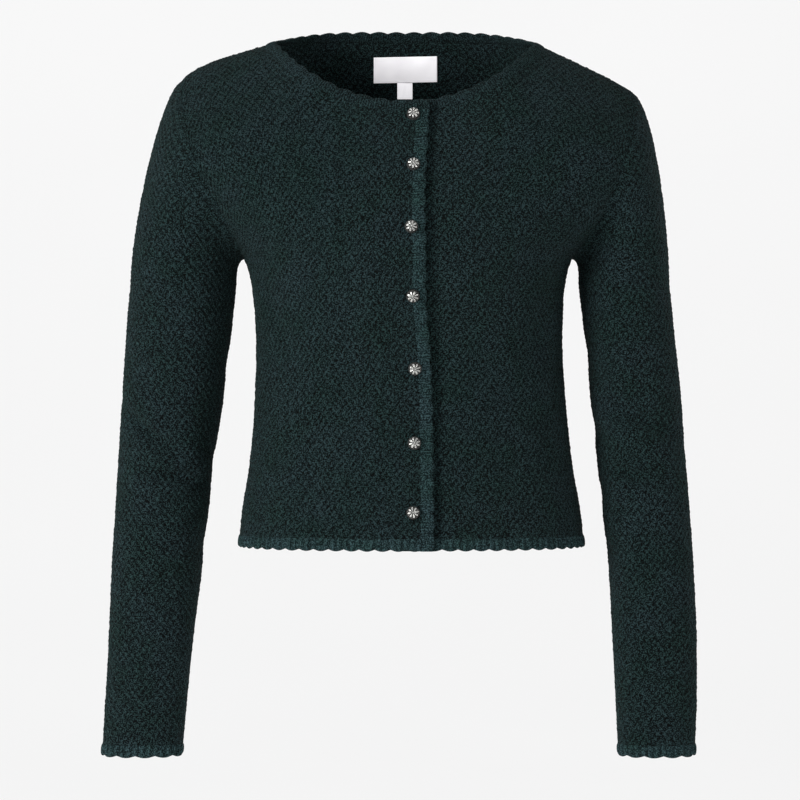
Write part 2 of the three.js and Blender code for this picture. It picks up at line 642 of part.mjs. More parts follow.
// Ribbed strip along a front edge, from the hem's edge to the neck seam. It follows the panel's own edge
function stripGrids(panelOuter, panelInside, outwards, outside, lifted) {
  const neckHeight = (x) => neckPoint('front', 'right', Math.abs(x) / NECK_HALF_WIDTH, 0).z;
  const edge = panelOuter.map((line, j) => ({ outer: line[0], inner: panelInside[j][0] }));
  const foot = edge[0].outer.clone().setZ(HEM_BOTTOM);
  const stops = cutFiner([{ outer: foot, inner: edge[0].inner.clone().setZ(HEM_BOTTOM) }, ...edge]);
  const last = stops.length - 1;
  const lines = stops.map((stop, n) => {
    const height = stop.outer.z;
    const notch = n === last ? 0 : SCALLOP_DEPTH * scallop(height - HEM_BOTTOM, STRIP_SCALLOP);
    const x = outside(height) - outwards * notch;
    const share = n / last;
    const lift = share * (neckHeight(x) - neckHeight(stop.outer.x)) + (1 - share) * SCALLOP_DEPTH;
    const tip = place('front', x, height + lift);
    if (lifted) tip.y -= lapLift(x);
    const shift = new THREE.Vector3(outwards * SEAM_GAP, 0, 0);
    const near = [stop.outer, stop.inner].map((point) => point.clone().add(shift));
    return { outer: [near[0], tip], inner: [near[1], tip.clone().setY(tip.y + WALL)] };
  });
  return { outer: lines.map((line) => line.outer), inner: lines.map((line) => line.inner) };
}

const topStrip = stripGrids(rightFront, rightFrontInner, 1, (z) => STRIP_WIDTH - topEdge(z), true);
const underStrip = stripGrids(leftFront, leftFrontInner, -1, () => UNDER_EDGE, false);
model.add(wallMesh('right_front_strip', topStrip.outer, topStrip.inner, COLOURS.band));
model.add(wallMesh('left_front_strip', underStrip.outer, underStrip.inner, COLOURS.band));

// Neckband. It starts from the points along the top of the strips and panels, cut finer
const lastOf = (list) => list[list.length - 1];
const neckColumn = Math.round(COLUMNS.front * COLUMNS.neckShare);
const pairs = (face, side, outer, inner, columns) => (
  columns.map((i) => ({ face, side, outer: lastOf(outer)[i], inner: lastOf(inner)[i] })));
const upTo = (count) => Array.from({ length: count + 1 }, (_, i) => i);
const backMiddle = COLUMNS.back / 2;
const neckBase = [
  ...pairs('front', 'top', topStrip.outer, topStrip.inner, [1, 0]),
  ...pairs('front', 'top', rightFront, rightFrontInner, upTo(neckColumn)),
  ...pairs('back', 'back', back, backInner, upTo(2 * neckColumn).map((i) => backMiddle - neckColumn + i)),
  ...pairs('front', 'under', leftFront, leftFrontInner, upTo(neckColumn).reverse()),
  ...pairs('front', 'under', underStrip.outer, underStrip.inner, [0, 1]),
];

function neckEdgePoint(face, lifted, x, reach) {
  const share = clamp(Math.abs(x) / NECK_HALF_WIDTH, 0, 1);
  const edge = neckPoint(face, x < 0 ? 'left' : 'right', share, reach);
  const point = torsoPoint(face, edge.x, edge.z);
  if (lifted) point.y -= lapLift(point.x);
  return point;
}

function neckBand() {
  const stops = cutFiner(neckBase);
  let along = 0;
  stops.forEach((stop, k) => {
    along += k > 0 ? stop.outer.distanceTo(stops[k - 1].outer) : 0;
    const reach = 1 - (SCALLOP_DEPTH / NECK_BAND) * scallop(along, NECK_SCALLOP);
    stop.edge = neckEdgePoint(stop.face, stop.side === 'top', stop.outer.x, reach);
    const away = stop.edge.clone().sub(stop.outer).normalize();
    stop.outer = stop.outer.clone().addScaledVector(away, SEAM_GAP);
    stop.inner = stop.inner.clone().addScaledVector(away, SEAM_GAP);
  });
  const outer = [stops.map((stop) => stop.outer), stops.map((stop) => stop.edge)];
  const normals = gridNormals(outer, false);
  const inner = [stops.map((stop) => stop.inner), stops.map((stop, i) => (
    stop.edge.clone().addScaledVector(normals[1][i], WALL)))];
  return wallMesh('neckband', outer, inner, COLOURS.band);
}
model.add(neckBand());

// Point on the flat faces of a front, near its opening
function onPanel(grid, x, z) {
  let j = 0;
  while (j < grid.length - 2 && grid[j + 1][0].z < z) j += 1;
  const up = (z - grid[j][0].z) / (grid[j + 1][0].z - grid[j][0].z);
  const near = grid[j][0].clone().lerp(grid[j + 1][0], up);
  const far = grid[j][1].clone().lerp(grid[j + 1][1], up);
  return near.lerp(far, (x - near.x) / (far.x - near.x));
}

// Domed buttons, standing on the top front
function surfaceNormal(face, x, z) {
  const across = torsoPoint(face, x + NORMAL_STEP, z).sub(torsoPoint(face, x - NORMAL_STEP, z));
  const up = torsoPoint(face, x, z + NORMAL_STEP).sub(torsoPoint(face, x, z - NORMAL_STEP));
  const normal = across.cross(up).normalize();
  return face === 'front' ? normal : normal.negate();
}

const buttonProfile = BUTTON_PROFILE.map(([out, up]) => (
  new THREE.Vector2((out * BUTTON_DIAMETER) / 2, up * BUTTON_HEIGHT)));

BUTTONS.forEach(({ x, z }, k) => {
  const geometry = new THREE.LatheGeometry(buttonProfile, BUTTON_SIDES);
  geometry.deleteAttribute('normal');
  geometry.deleteAttribute('uv');
  const button = meshOf(`button_${k + 1}`, mergeVertices(geometry, SAME_POINT), COLOURS.metal);
  const normal = surfaceNormal('front', x, z);
  button.position.copy(onPanel(rightFront, x, z).addScaledVector(normal, SEAM_GAP));
  button.quaternion.setFromUnitVectors(new THREE.Vector3(0, 1, 0), normal);
  model.add(button);
});

// Woven label and tab, bent to the inside of the back
function insideStrip(name, strip) {
  const { columns } = strip;
  const layer = (depth) => [1, 0.5, 0].map((row) => Array.from({ length: columns + 1 }, (_, i) => {
    const x = strip.x + (i / columns - 0.5) * strip.width;
    const z = strip.top - row * strip.height;
    return torsoPoint('back', x, z).addScaledVector(surfaceNormal('back', x, z), -WALL - LABEL_CLEARANCE - depth);
  }));
  return wallMesh(name, layer(strip.thickness), layer(0), COLOURS.label);
}
model.add(insideStrip('label', LABEL));
model.add(insideStrip('size_tab', TAB));

export default model;
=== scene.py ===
# A short button-through cardigan in thick dark green wool, filled out as if it were worn.
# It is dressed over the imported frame, in metres. The front faces -Y and +Z is up.
import math

import bmesh
import bpy
import numpy as np
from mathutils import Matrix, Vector


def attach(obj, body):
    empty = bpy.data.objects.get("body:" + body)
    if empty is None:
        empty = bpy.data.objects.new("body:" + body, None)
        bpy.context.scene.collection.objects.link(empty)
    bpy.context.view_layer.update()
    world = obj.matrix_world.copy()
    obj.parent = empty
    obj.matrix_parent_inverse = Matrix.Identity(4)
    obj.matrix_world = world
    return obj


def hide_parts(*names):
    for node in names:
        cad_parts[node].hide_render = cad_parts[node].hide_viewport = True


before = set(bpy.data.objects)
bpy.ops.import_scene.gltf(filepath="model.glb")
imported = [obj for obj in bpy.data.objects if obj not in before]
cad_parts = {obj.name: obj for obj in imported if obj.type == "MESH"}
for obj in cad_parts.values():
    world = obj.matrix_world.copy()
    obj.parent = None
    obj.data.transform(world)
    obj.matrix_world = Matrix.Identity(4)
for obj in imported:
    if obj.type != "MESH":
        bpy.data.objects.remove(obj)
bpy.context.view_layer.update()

# Camera, level and square to the front, three metres away.
# Its frame is 748 mm wide at the side seams, and its middle is 337 mm below the neck point.
MM = 0.001
VIEW_DISTANCE = 3000
VIEW_WIDTH = 748
VIEW_MIDDLE = (-4.7, -336.6)
camera_data = bpy.data.cameras.new("camera")
camera_data.sensor_width = 36
camera_data.lens = camera_data.sensor_width * VIEW_DISTANCE / VIEW_WIDTH
camera = bpy.data.objects.new("camera", camera_data)
camera.location = (VIEW_MIDDLE[0] * MM, -VIEW_DISTANCE * MM, VIEW_MIDDLE[1] * MM)
camera.rotation_euler = (math.radians(90), 0, 0)
bpy.context.scene.collection.objects.link(camera)
bpy.context.scene.camera = camera

# Back and fronts: three panels hand-knitted in double moss stitch from thick dark green wool, and
# sewn at the shoulders and sides. The front on the viewer's left laps over the other one.
# Apart from the pieces' names, "left" and "right" are the viewer's. Sizes are in millimetres from
# the neck point.
WALL = 2.4
HEM_SEAM = -461.7
UNDERARM = -205.0
ARMHOLE_RISE = 110         # height over which the sides open into the armholes
ARMHOLE_DEPTH = 0.64       # share of the body's depth at the top of an armhole
SHOULDER_TURN = 95         # height over which the body rounds over into the shoulders
ROUND = 2.3                # roundness of the body's section: 2 is an ellipse
LAP_LIFT = 4.1
LAP_SINK = 3.2
NECK_HALF = 130.0
NECK_BAND = 10.0
NECK_DROP = {"front": -74.0, "back": 5.0}
SHOULDER = {"left": 209.0, "right": 213.0}
STRIP = 12.0
UNDER_EDGE = -8.0
STITCH = (6.6, 8.6)        # width and height of one repeat, which holds two stitches
STEPS = (4, 6)             # mesh steps across and up one repeat

# height, half width on the left and right, depth of the front and the back
BODY = np.array([
    (-480, 156, 168, 111, 113), (-439, 152, 163.5, 108, 109), (-402, 146, 157, 104, 103),
    (-365, 142, 152.5, 100, 98), (-327, 140, 149, 98, 94), (-290, 139, 147, 102, 95),
    (-252, 140.5, 147.5, 111, 99), (-225, 144, 150, 117, 103), (-205, 150, 156, 119, 105),
    (-190, 157, 167, 119, 106), (-158, 173, 186, 115, 106), (-120, 191, 201, 105, 103),
    (-85, 203, 211, 94, 97), (-48, 209, 215, 82, 88), (0, 212, 218, 68, 73),
    (40, 214, 220, 60, 62),
], float)

# distance from the middle, height of the shoulder ridge on the left and right
RIDGE = np.array([
    (0, 80, 80), (50, 62, 62), (80, 40, 40), (100, 20, 19), (110, 8, 6), (120, -1, -2),
    (140, -8, -12), (160, -14, -21.5), (180, -20.5, -31), (200, -30.5, -41.5), (210, -40, -47.5),
    (220, -56, -57),
], float)

# height and x of the free edge of the lapping front
FRONT_EDGE = np.array([
    (-480, 26.5), (-400, 26), (-340, 25), (-300, 23.5), (-250, 19.5), (-200, 19), (-150, 18.5),
    (-60, 23),
], float)

# soft folds: face, x, height, half length, half width, lean in degrees, depth
BODY_FOLDS = [
    ("front", -132, -232, 48, 9, -24, 3.5), ("front", -118, -262, 52, 11, -10, 2.4),
    ("front", 140, -232, 46, 9, 22, 3.2), ("front", 124, -270, 55, 12, 8, 2.2),
    ("front", -84, -395, 60, 16, 6, 1.8), ("front", 96, -400, 62, 16, -7, 1.8),
    ("back", -126, -236, 46, 10, -20, 3.2), ("back", 132, -238, 46, 10, 20, 3.2),
    ("back", -40, -330, 70, 18, 4, 2.2), ("back", 46, -340, 66, 18, -5, 2.0),
]


def through(places, values):
    """A smooth curve through a table's rows."""
    slope = np.gradient(values, places)
    slope[1:-1] = (values[2:] - values[:-2]) / (places[2:] - places[:-2])

    def at(place):
        place = np.clip(place, places[0], places[-1])
        k = np.clip(np.searchsorted(places, place, side="right") - 1, 0, len(places) - 2)
        span = places[k + 1] - places[k]
        t = (place - places[k]) / span
        low = (2 * t**3 - 3 * t**2 + 1) * values[k] + (t**3 - 2 * t**2 + t) * span * slope[k]
        high = (3 * t**2 - 2 * t**3) * values[k + 1] + (t**3 - t**2) * span * slope[k + 1]
        return low + high
    return at


def smoothstep(value, low, high):
    t = np.clip((value - low) / (high - low), 0, 1)
    return t * t * (3 - 2 * t)


reach = {"left": through(BODY[:, 0], BODY[:, 1]), "right": through(BODY[:, 0], BODY[:, 2])}
depth = {"front": through(BODY[:, 0], BODY[:, 3]), "back": through(BODY[:, 0], BODY[:, 4])}
ridge = {"left": through(RIDGE[:, 0], RIDGE[:, 1]), "right": through(RIDGE[:, 0], RIDGE[:, 2])}
front_edge = through(FRONT_EDGE[:, 0], FRONT_EDGE[:, 1])


def sided(curves, x, at):
    return np.where(x < 0, curves["left"](at), curves["right"](at))


def body_folds(face, x, z):
    total = np.zeros_like(x)
    for on, at_x, at_z, long, wide, lean, deep in BODY_FOLDS:
        if on != face:
            continue
        c, s = math.cos(math.radians(lean)), math.sin(math.radians(lean))
        along = (z - at_z) * c + (x - at_x) * s
        across = (x - at_x) * c - (z - at_z) * s
        total = total + deep * np.exp(-(along / long) ** 2 - (across / wide) ** 2)
    return total


def lap_lift(x):
    """How far the lapping front stands out over the one under it."""
    return LAP_LIFT * smoothstep(x, -62, -22)


def lap_sink(x):
    """How far the front under the lap sinks beside the edge over it."""
    return LAP_SINK * smoothstep(x, -60, -30) * (1 - smoothstep(x, 26, 50))


def body_point(face, x, z, lapping=False, seam=-0.2):
    """Outer surface of the body at x and z, bare of stitches. seam moves it out or in."""
    x, z = np.broadcast_arrays(np.asarray(x, float), np.asarray(z, float))
    rise = np.clip((z - UNDERARM) / ARMHOLE_RISE, 0, 1)
    held = (ARMHOLE_DEPTH * np.sqrt(1 - (1 - rise) ** 2)) ** ROUND
    share = np.clip(np.abs(x) / sided(reach, x, z), 0, 1) ** ROUND
    bend = np.maximum(1 - (1 - held) * share, 0) ** (1 / ROUND)
    below = np.clip((sided(ridge, x, np.abs(x)) - z) / SHOULDER_TURN, 0, 1)
    out = depth[face](z) * np.sqrt(1 - (1 - below) ** 2) * bend
    out = out - body_folds(face, x, z) * np.minimum(out / 40, 1) + seam
    if lapping:
        out = out + lap_lift(x)
    elif face == "front":
        out = out - lap_sink(x)
    return np.stack([x, -out if face == "front" else out, z], -1)


def arm_edge(side, z):
    """Half width to the side seam, or to the armhole above the underarm."""
    rise = (z - UNDERARM) / (ridge[side](SHOULDER[side]) - UNDERARM)
    wide = reach[side](z)
    return wide + (SHOULDER[side] - wide) * smoothstep(rise, 0.8, 1)


def neck_line(face, share, out=0.0):
    """x and height of the neckline at a share of the way out, and how far up the neckband."""
    half = NECK_HALF - out * NECK_BAND
    x = half * share
    end = sided(ridge, x, half + 0 * x)
    middle = NECK_DROP[face] + out * NECK_BAND
    away = np.abs(share)
    scoop = np.maximum(1 - away**2, 0) ** 0.8 if face == "front" else 1 - away**4
    return x, end + (middle - end) * scoop


def top_height(face, x):
    neck = neck_line(face, np.clip(x / NECK_HALF, -1, 1))[1]
    return np.where(np.abs(x) < NECK_HALF, neck, sided(ridge, x, np.abs(x)))


def run_length(points):
    """Distance along rows of points, from their first."""
    steps = np.linalg.norm(np.diff(points, axis=-2), axis=-1)
    return np.concatenate([np.zeros(steps.shape[:-1] + (1,)), np.cumsum(steps, -1)], -1)


def panel_paths(face, from_x, to_x, lapping=False, count=241, steps=240):
    """Paths up a panel at even shares of its width, as points at even steps along each.
    Above low_top the shares of the width stay as they are there."""
    low_top = -60.0
    shares = np.linspace(0, 1, count)
    levels = np.linspace(HEM_SEAM, 12, 160)
    spread = (1 - np.cos(np.linspace(0, math.pi, 500))) / 2
    even = []
    for z in levels:
        low = min(z, low_top)
        x = from_x(low) + (to_x(low) - from_x(low)) * spread
        run = run_length(body_point(face, x, low, lapping))
        even.append(np.interp(shares, run / run[-1], spread))
    near = np.exp(-(((levels[:, None] - levels[None, :]) / 34) ** 2))
    even = near @ np.array(even) / near.sum(1, keepdims=True)
    low_x, high_x = from_x(levels)[:, None], to_x(levels)[:, None]
    table = low_x + (high_x - low_x) * even
    eased = np.sin(np.linspace(0, math.pi / 2, 500))
    paths = []
    lengths = []
    for k in range(count):
        top = low_top
        for _ in range(30):
            top = float(top_height(face, np.interp(top, levels, table[:, k])))
        z = HEM_SEAM + (top - HEM_SEAM) * eased
        run = run_length(body_point(face, np.interp(z, levels, table[:, k]), z, lapping))
        z = np.interp(np.linspace(0, run[-1], steps), run, z)
        paths.append(body_point(face, np.interp(z, levels, table[:, k]), z, lapping))
        lengths.append(run[-1])
    return np.array(paths), np.array(lengths)


def between(grid, across, up):
    """Reads a grid of points at fractional places."""
    i = np.clip(np.floor(across).astype(int), 0, grid.shape[0] - 2)
    j = np.clip(np.floor(up).astype(int), 0, grid.shape[1] - 2)
    s = (across - i)[..., None]
    t = (up - j)[..., None]
    low = grid[i, j] * (1 - s) + grid[i + 1, j] * s
    high = grid[i, j + 1] * (1 - s) + grid[i + 1, j + 1] * s
    return low * (1 - t) + high * t


KNOB_HEIGHT = 1.1
KNOB_SUNK = 0.8            # how far the gaps between knobs lie under the plain surface
KNOB_STRAY = 1.5
EDGE_FADE = 1.8            # distance over which the knobs flatten towards a seam
DRAWS = 128
# a draw for each knob's height, its stray across and up, and for ribs and button petals
chance = np.random.default_rng(11).random((4, DRAWS, DRAWS))


def stitch_relief(u, v):
    """Height of the double moss stitches, and how far each one strays across and up."""
    wave = np.cos(2 * math.pi * u) * np.cos(2 * math.pi * v)
    knob = ((1 + wave) / 2) ** 0.85
    p = np.round(u + v).astype(int) % DRAWS
    q = np.round(u - v).astype(int) % DRAWS
    tall = 0.65 + 0.7 * chance[0, p, q]
    height = KNOB_HEIGHT * knob * tall - KNOB_SUNK
    stray_across, stray_up = [(chance[k, p, q] - 0.5) * KNOB_STRAY * knob for k in (1, 2)]
    return height, stray_across, stray_up


def grid_faces(rows, columns, start=0):
    at = start + np.arange(rows * columns).reshape(rows, columns)
    a, b, c, d = at[:-1, :-1], at[:-1, 1:], at[1:, 1:], at[1:, :-1]
    one = np.stack([a, b, c], -1).reshape(-1, 3)
    two = np.stack([a, c, d], -1).reshape(-1, 3)
    return np.concatenate([one, two])


def rim_faces(fine, coarse):
    """Joins an edge of the outer layer to the coarser edge of the inner one."""
    step = (len(fine) - 1) // (len(coarse) - 1)
    faces = []
    for k in range(len(coarse) - 1):
        half = k * step + step // 2
        faces += [(coarse[k], fine[n], fine[n + 1]) for n in range(k * step, half)]
        faces.append((coarse[k], fine[half], coarse[k + 1]))
        faces += [(coarse[k + 1], fine[n], fine[n + 1]) for n in range(half, (k + 1) * step)]
    return faces


def add_piece(name, points, faces, material, uv=None):
    """A smooth mesh from points in millimetres, with doubled points joined."""
    mesh = bpy.data.meshes.new(name)
    faces = np.asarray(faces, np.int32)
    mesh.vertices.add(len(points))
    mesh.vertices.foreach_set("co", (np.asarray(points) * MM).astype(np.float32).ravel())
    mesh.loops.add(faces.size)
    mesh.loops.foreach_set("vertex_index", faces.ravel())
    mesh.polygons.add(len(faces))
    mesh.polygons.foreach_set("loop_start", np.arange(len(faces), dtype=np.int32) * 3)
    mesh.polygons.foreach_set("loop_total", np.full(len(faces), 3, np.int32))
    mesh.update(calc_edges=True)
    if uv is not None:
        layer = mesh.uv_layers.new(name="stitches")
        layer.data.foreach_set("uv", np.asarray(uv, np.float32)[faces.ravel()].ravel())
    bm = bmesh.new()
    bm.from_mesh(mesh)
    bmesh.ops.remove_doubles(bm, verts=bm.verts, dist=0.02 * MM)
    bmesh.ops.recalc_face_normals(bm, faces=bm.faces)
    bm.to_mesh(mesh)
    bm.free()
    mesh.polygons.foreach_set("use_smooth", np.ones(len(mesh.polygons), bool))
    mesh.update()
    piece = bpy.data.objects.new(name, mesh)
    bpy.context.scene.collection.objects.link(piece)
    mesh.materials.append(material)
    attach(piece, "root")
    return piece


def knit(name, paths, lengths, across, height, u, near_edge, material, open_sides):
    """A knitted shell: the outer layer carries each stitch, and the inner one is plainer.
    across counts paths, u counts repeats of the stitch, and height is in mm up the piece."""
    along_a = np.gradient(paths, axis=0)
    along_b = np.gradient(paths, axis=1)
    if not open_sides:
        along_a[0] = along_a[-1] = along_a[0] + along_a[-1]
    normals = np.cross(along_a, along_b)
    normals /= np.linalg.norm(normals, axis=-1, keepdims=True) + 1e-9
    # each normal is the mean of 7 up its path, so no stitch stands askew at a bend
    steady = sum(normals[:, k:k + normals.shape[1] - 6] for k in range(7))
    normals[:, 3:-3] = steady / (np.linalg.norm(steady, axis=-1, keepdims=True) + 1e-9)
    flat = paths[..., :2] - paths[..., :2].mean((0, 1))
    if (normals[..., :2] * flat).sum() < 0:
        normals = -normals
    length = np.interp(across, np.arange(len(lengths)), lengths)
    up = height / length * (paths.shape[1] - 1)
    surface = between(paths, across, up)
    normal = between(normals, across, up)
    normal /= np.linalg.norm(normal, axis=-1, keepdims=True)
    v = height / STITCH[1]
    relief, stray_across, stray_up = stitch_relief(u, v)
    free = smoothstep(near_edge, 0, EDGE_FADE)
    sideways = np.cross(normal, [0.0, 0.0, 1.0])
    sideways /= np.linalg.norm(sideways, axis=-1, keepdims=True) + 1e-6
    upwards = np.cross(sideways, normal)
    outer = surface + normal * (free * relief)[..., None]
    outer = outer + sideways * (free * stray_across)[..., None]
    outer = outer + upwards * (free * stray_up)[..., None]
    inner = (surface - normal * WALL)[:: STEPS[1], :: STEPS[0]]
    uv = np.stack([u, v], -1)
    inner_uv = uv[:: STEPS[1], :: STEPS[0]]
    rows, columns = outer.shape[:2]
    inner_rows, inner_columns = inner.shape[:2]
    start = rows * columns
    fine = np.arange(start).reshape(rows, columns)
    coarse = start + np.arange(inner_rows * inner_columns).reshape(inner_rows, inner_columns)
    faces = [grid_faces(rows, columns), grid_faces(inner_rows, inner_columns, start)]
    faces.append(np.array(rim_faces(fine[0], coarse[0]) + rim_faces(fine[-1], coarse[-1])))
    if open_sides:
        first, last = rim_faces(fine[:, 0], coarse[:, 0]), rim_faces(fine[:, -1], coarse[:, -1])
        faces.append(np.array(first + last))
    points = np.concatenate([outer.reshape(-1, 3), inner.reshape(-1, 3)])
    uvs = np.concatenate([uv.reshape(-1, 2), inner_uv.reshape(-1, 2)])
    return add_piece(name, points, np.concatenate(faces), material, uvs)


def linear(colour):
    """Linear RGBA of an sRGB hex colour."""
    parts = [int(colour[k:k + 2], 16) / 255 for k in (1, 3, 5)]
    parts = [p / 12.92 if p <= 0.04045 else ((p + 0.055) / 1.055) ** 2.4 for p in parts]
    return tuple(parts) + (1.0,)


def add_node(tree, kind, inputs=None, **settings):
    """A shader node with its settings, and with values or links on its inputs."""
    made = tree.nodes.new(kind)
    for key, value in settings.items():
        setattr(made, key, value)
    for key, value in (inputs or {}).items():
        if isinstance(value, bpy.types.NodeSocket):
            tree.links.new(value, made.inputs[key])
        else:
            made.inputs[key].default_value = value
    return made


def ramp(tree, factor, stops):
    """A colour ramp with stops of (place, hex colour)."""
    made = add_node(tree, "ShaderNodeValToRGB", {"Fac": factor})
    while len(made.color_ramp.elements) < len(stops):
        made.color_ramp.elements.new(0.5)
    for element, (place, colour) in zip(made.color_ramp.elements, stops):
        element.position = place
        element.color = linear(colour)
    return made


def new_material(name):
    material = bpy.data.materials.new(name)
    material.use_nodes = True
    material.node_tree.nodes.clear()
    return material, material.node_tree


def dyed_wool(name, gap, low, high, relief, ribbed=False):
    """Thick carded wool, dyed dark green. The eye gets lighter knobs on nearly black gaps, no
    gloss, a soft halo of fibres at grazing angles, and dye that is uneven along the yarn.
    The colour follows the height of the knobs or ribs: it darkens to nearly black in the gaps as
    painted shade, where the knobs shade the yarn between them. relief is how much the knobs or
    ribs count for in this painted shade, beside the strands."""
    material, tree = new_material(name)
    uv = add_node(tree, "ShaderNodeUVMap", uv_map="stitches")
    place = add_node(tree, "ShaderNodeSeparateXYZ", {0: uv.outputs[0]})
    # stitches stray by up to half a repeat, in drifts of about one repeat
    sway = add_node(tree, "ShaderNodeTexNoise", {
        "Vector": uv.outputs[0], "Scale": 1.3, "Detail": 1.0})
    swayed = add_node(tree, "ShaderNodeSeparateXYZ", {0: sway.outputs["Color"]})
    stray = 0.0 if ribbed else 0.55
    strayed = []
    turns = []
    for axis in ("X", "Y"):
        strayed.append(add_node(tree, "ShaderNodeMath", {
            0: swayed.outputs[axis], 1: stray, 2: place.outputs[axis]}, operation="MULTIPLY_ADD"))
        turn = add_node(tree, "ShaderNodeMath", {0: strayed[-1].outputs[0], 1: 2 * math.pi},
                        operation="MULTIPLY")
        turns.append(add_node(tree, "ShaderNodeMath", {0: turn.outputs[0]}, operation="COSINE"))
    if ribbed:
        wave = turns[0]
    else:
        wave = add_node(tree, "ShaderNodeMath", {0: turns[0].outputs[0], 1: turns[1].outputs[0]},
                        operation="MULTIPLY")
    # each knob is two loops of yarn, one above the other, which bow upwards: 4 loops to 8.6 mm
    bow = add_node(tree, "ShaderNodeMath", {0: strayed[0].outputs[0], 1: 4 * math.pi},
                   operation="MULTIPLY")
    bowed = add_node(tree, "ShaderNodeMath", {0: bow.outputs[0]}, operation="COSINE")
    lifted = add_node(tree, "ShaderNodeMath", {0: bowed.outputs[0], 1: 1.3}, operation="MULTIPLY")
    loop = add_node(tree, "ShaderNodeMath", {
        0: strayed[1].outputs[0], 1: 8 * math.pi, 2: lifted.outputs[0]}, operation="MULTIPLY_ADD")
    loops = add_node(tree, "ShaderNodeMath", {0: loop.outputs[0]}, operation="COSINE")
    looped = add_node(tree, "ShaderNodeMath", {
        0: loops.outputs[0], 1: 0.0 if ribbed else 0.4, 2: wave.outputs[0]},
        operation="MULTIPLY_ADD")
    # carded yarn of about 1.2 mm, which shows as short bright flecks 2 to 3 mm apart: partly the
    # yarn's uneven fibres, and partly painted highlights, as the flecks are lighter where strands
    # stand higher
    spot = add_node(tree, "ShaderNodeTexCoord")
    strands = add_node(tree, "ShaderNodeTexNoise", {
        "Vector": spot.outputs["Object"], "Scale": 860.0, "Detail": 1.5, "Roughness": 0.6})
    strand_part = add_node(tree, "ShaderNodeMath", {
        0: strands.outputs["Fac"], 1: 4.4, 2: -1.7}, operation="MULTIPLY_ADD")
    level = add_node(tree, "ShaderNodeMath", {
        0: looped.outputs[0], 1: relief, 2: strand_part.outputs[0]}, operation="MULTIPLY_ADD")
    # painted shade: the colour darkens with the height of the knobs and strands, to nearly black in
    # the gaps
    tone = ramp(tree, level.outputs[0], [(0.05, gap), (0.5, low), (0.95, high)])
    # the dye drifts from green to blue over about 36 mm, and in depth from knob to knob
    patches = add_node(tree, "ShaderNodeTexNoise", {
        "Vector": spot.outputs["Object"], "Scale": 28.0, "Detail": 4.0, "Roughness": 0.6})
    shade = ramp(tree, patches.outputs["Fac"], [
        (0.35, "#dcebe2"), (0.5, "#eef2f2"), (0.65, "#fdf8ff")])
    fleck = add_node(tree, "ShaderNodeTexNoise", {
        "Vector": uv.outputs[0], "Scale": 3.4, "Detail": 1.0})
    fleck_shade = add_node(tree, "ShaderNodeMapRange", {
        "Value": fleck.outputs["Fac"], "From Min": 0.3, "From Max": 0.7, "To Min": 0.8,
        "To Max": 1.2})
    both = add_node(tree, "ShaderNodeVectorMath", {
        0: shade.outputs["Color"], 1: fleck_shade.outputs[0]}, operation="MULTIPLY")
    dyed = add_node(tree, "ShaderNodeVectorMath", {
        0: tone.outputs["Color"], 1: both.outputs[0]}, operation="MULTIPLY")
    bump = add_node(tree, "ShaderNodeBump", {
        "Strength": 0.8, "Distance": 0.9 * MM, "Height": level.outputs[0]})
    shader = add_node(tree, "ShaderNodeBsdfPrincipled", {
        "Base Color": dyed.outputs[0], "Roughness": 0.92, "Specular IOR Level": 0.08,
        "Sheen Weight": 0.035, "Sheen Roughness": 0.42, "Sheen Tint": linear("#8fb0ac"),
        "Normal": bump.outputs[0]})
    add_node(tree, "ShaderNodeOutputMaterial", {"Surface": shader.outputs[0]})
    return material


# The gap colour is painted shade between the knobs, and the colours run from it up to the knobs'
# tops.
wool = dyed_wool("wool, knitted in double moss stitch", "#040707", "#0f1a1b", "#2c3f40", 0.25)


def top_edge(z):
    return front_edge(z) - STRIP


def under_edge(z):
    return UNDER_EDGE + STRIP + 0 * z


def knit_panel(name, face, from_x, to_x, repeats, lapping=False):
    """A panel from one side to the other, with a number of repeats of the stitch across it."""
    paths, lengths = panel_paths(face, from_x, to_x, lapping)
    columns = repeats * STEPS[0]
    rows = math.ceil(lengths.max() / STITCH[1]) * STEPS[1]
    share = np.linspace(0, 1, columns + 1)[None, :] + np.zeros((rows + 1, 1))
    across = share * (len(lengths) - 1)
    length = np.interp(across, np.arange(len(lengths)), lengths)
    height = np.minimum(np.arange(rows + 1)[:, None] * STITCH[1] / STEPS[1], length)
    u = share * repeats + 0.5 / STEPS[0]
    side = np.minimum(share, 1 - share) * repeats * STITCH[0]
    near_edge = np.minimum(np.minimum(height, length - height), side)
    return knit(name, paths, lengths, across, height, u, near_edge, wool, True)


def left_side(z):
    return -arm_edge("left", z)


def right_side(z):
    return arm_edge("right", z)


back = knit_panel("back_panel", "back", left_side, right_side, 62)
right_front = knit_panel("right_front_panel", "front", left_side, top_edge, 35, lapping=True)
left_front = knit_panel("left_front_panel", "front", under_edge, right_side, 33)
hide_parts("back")
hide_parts("right_front")
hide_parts("left_front")

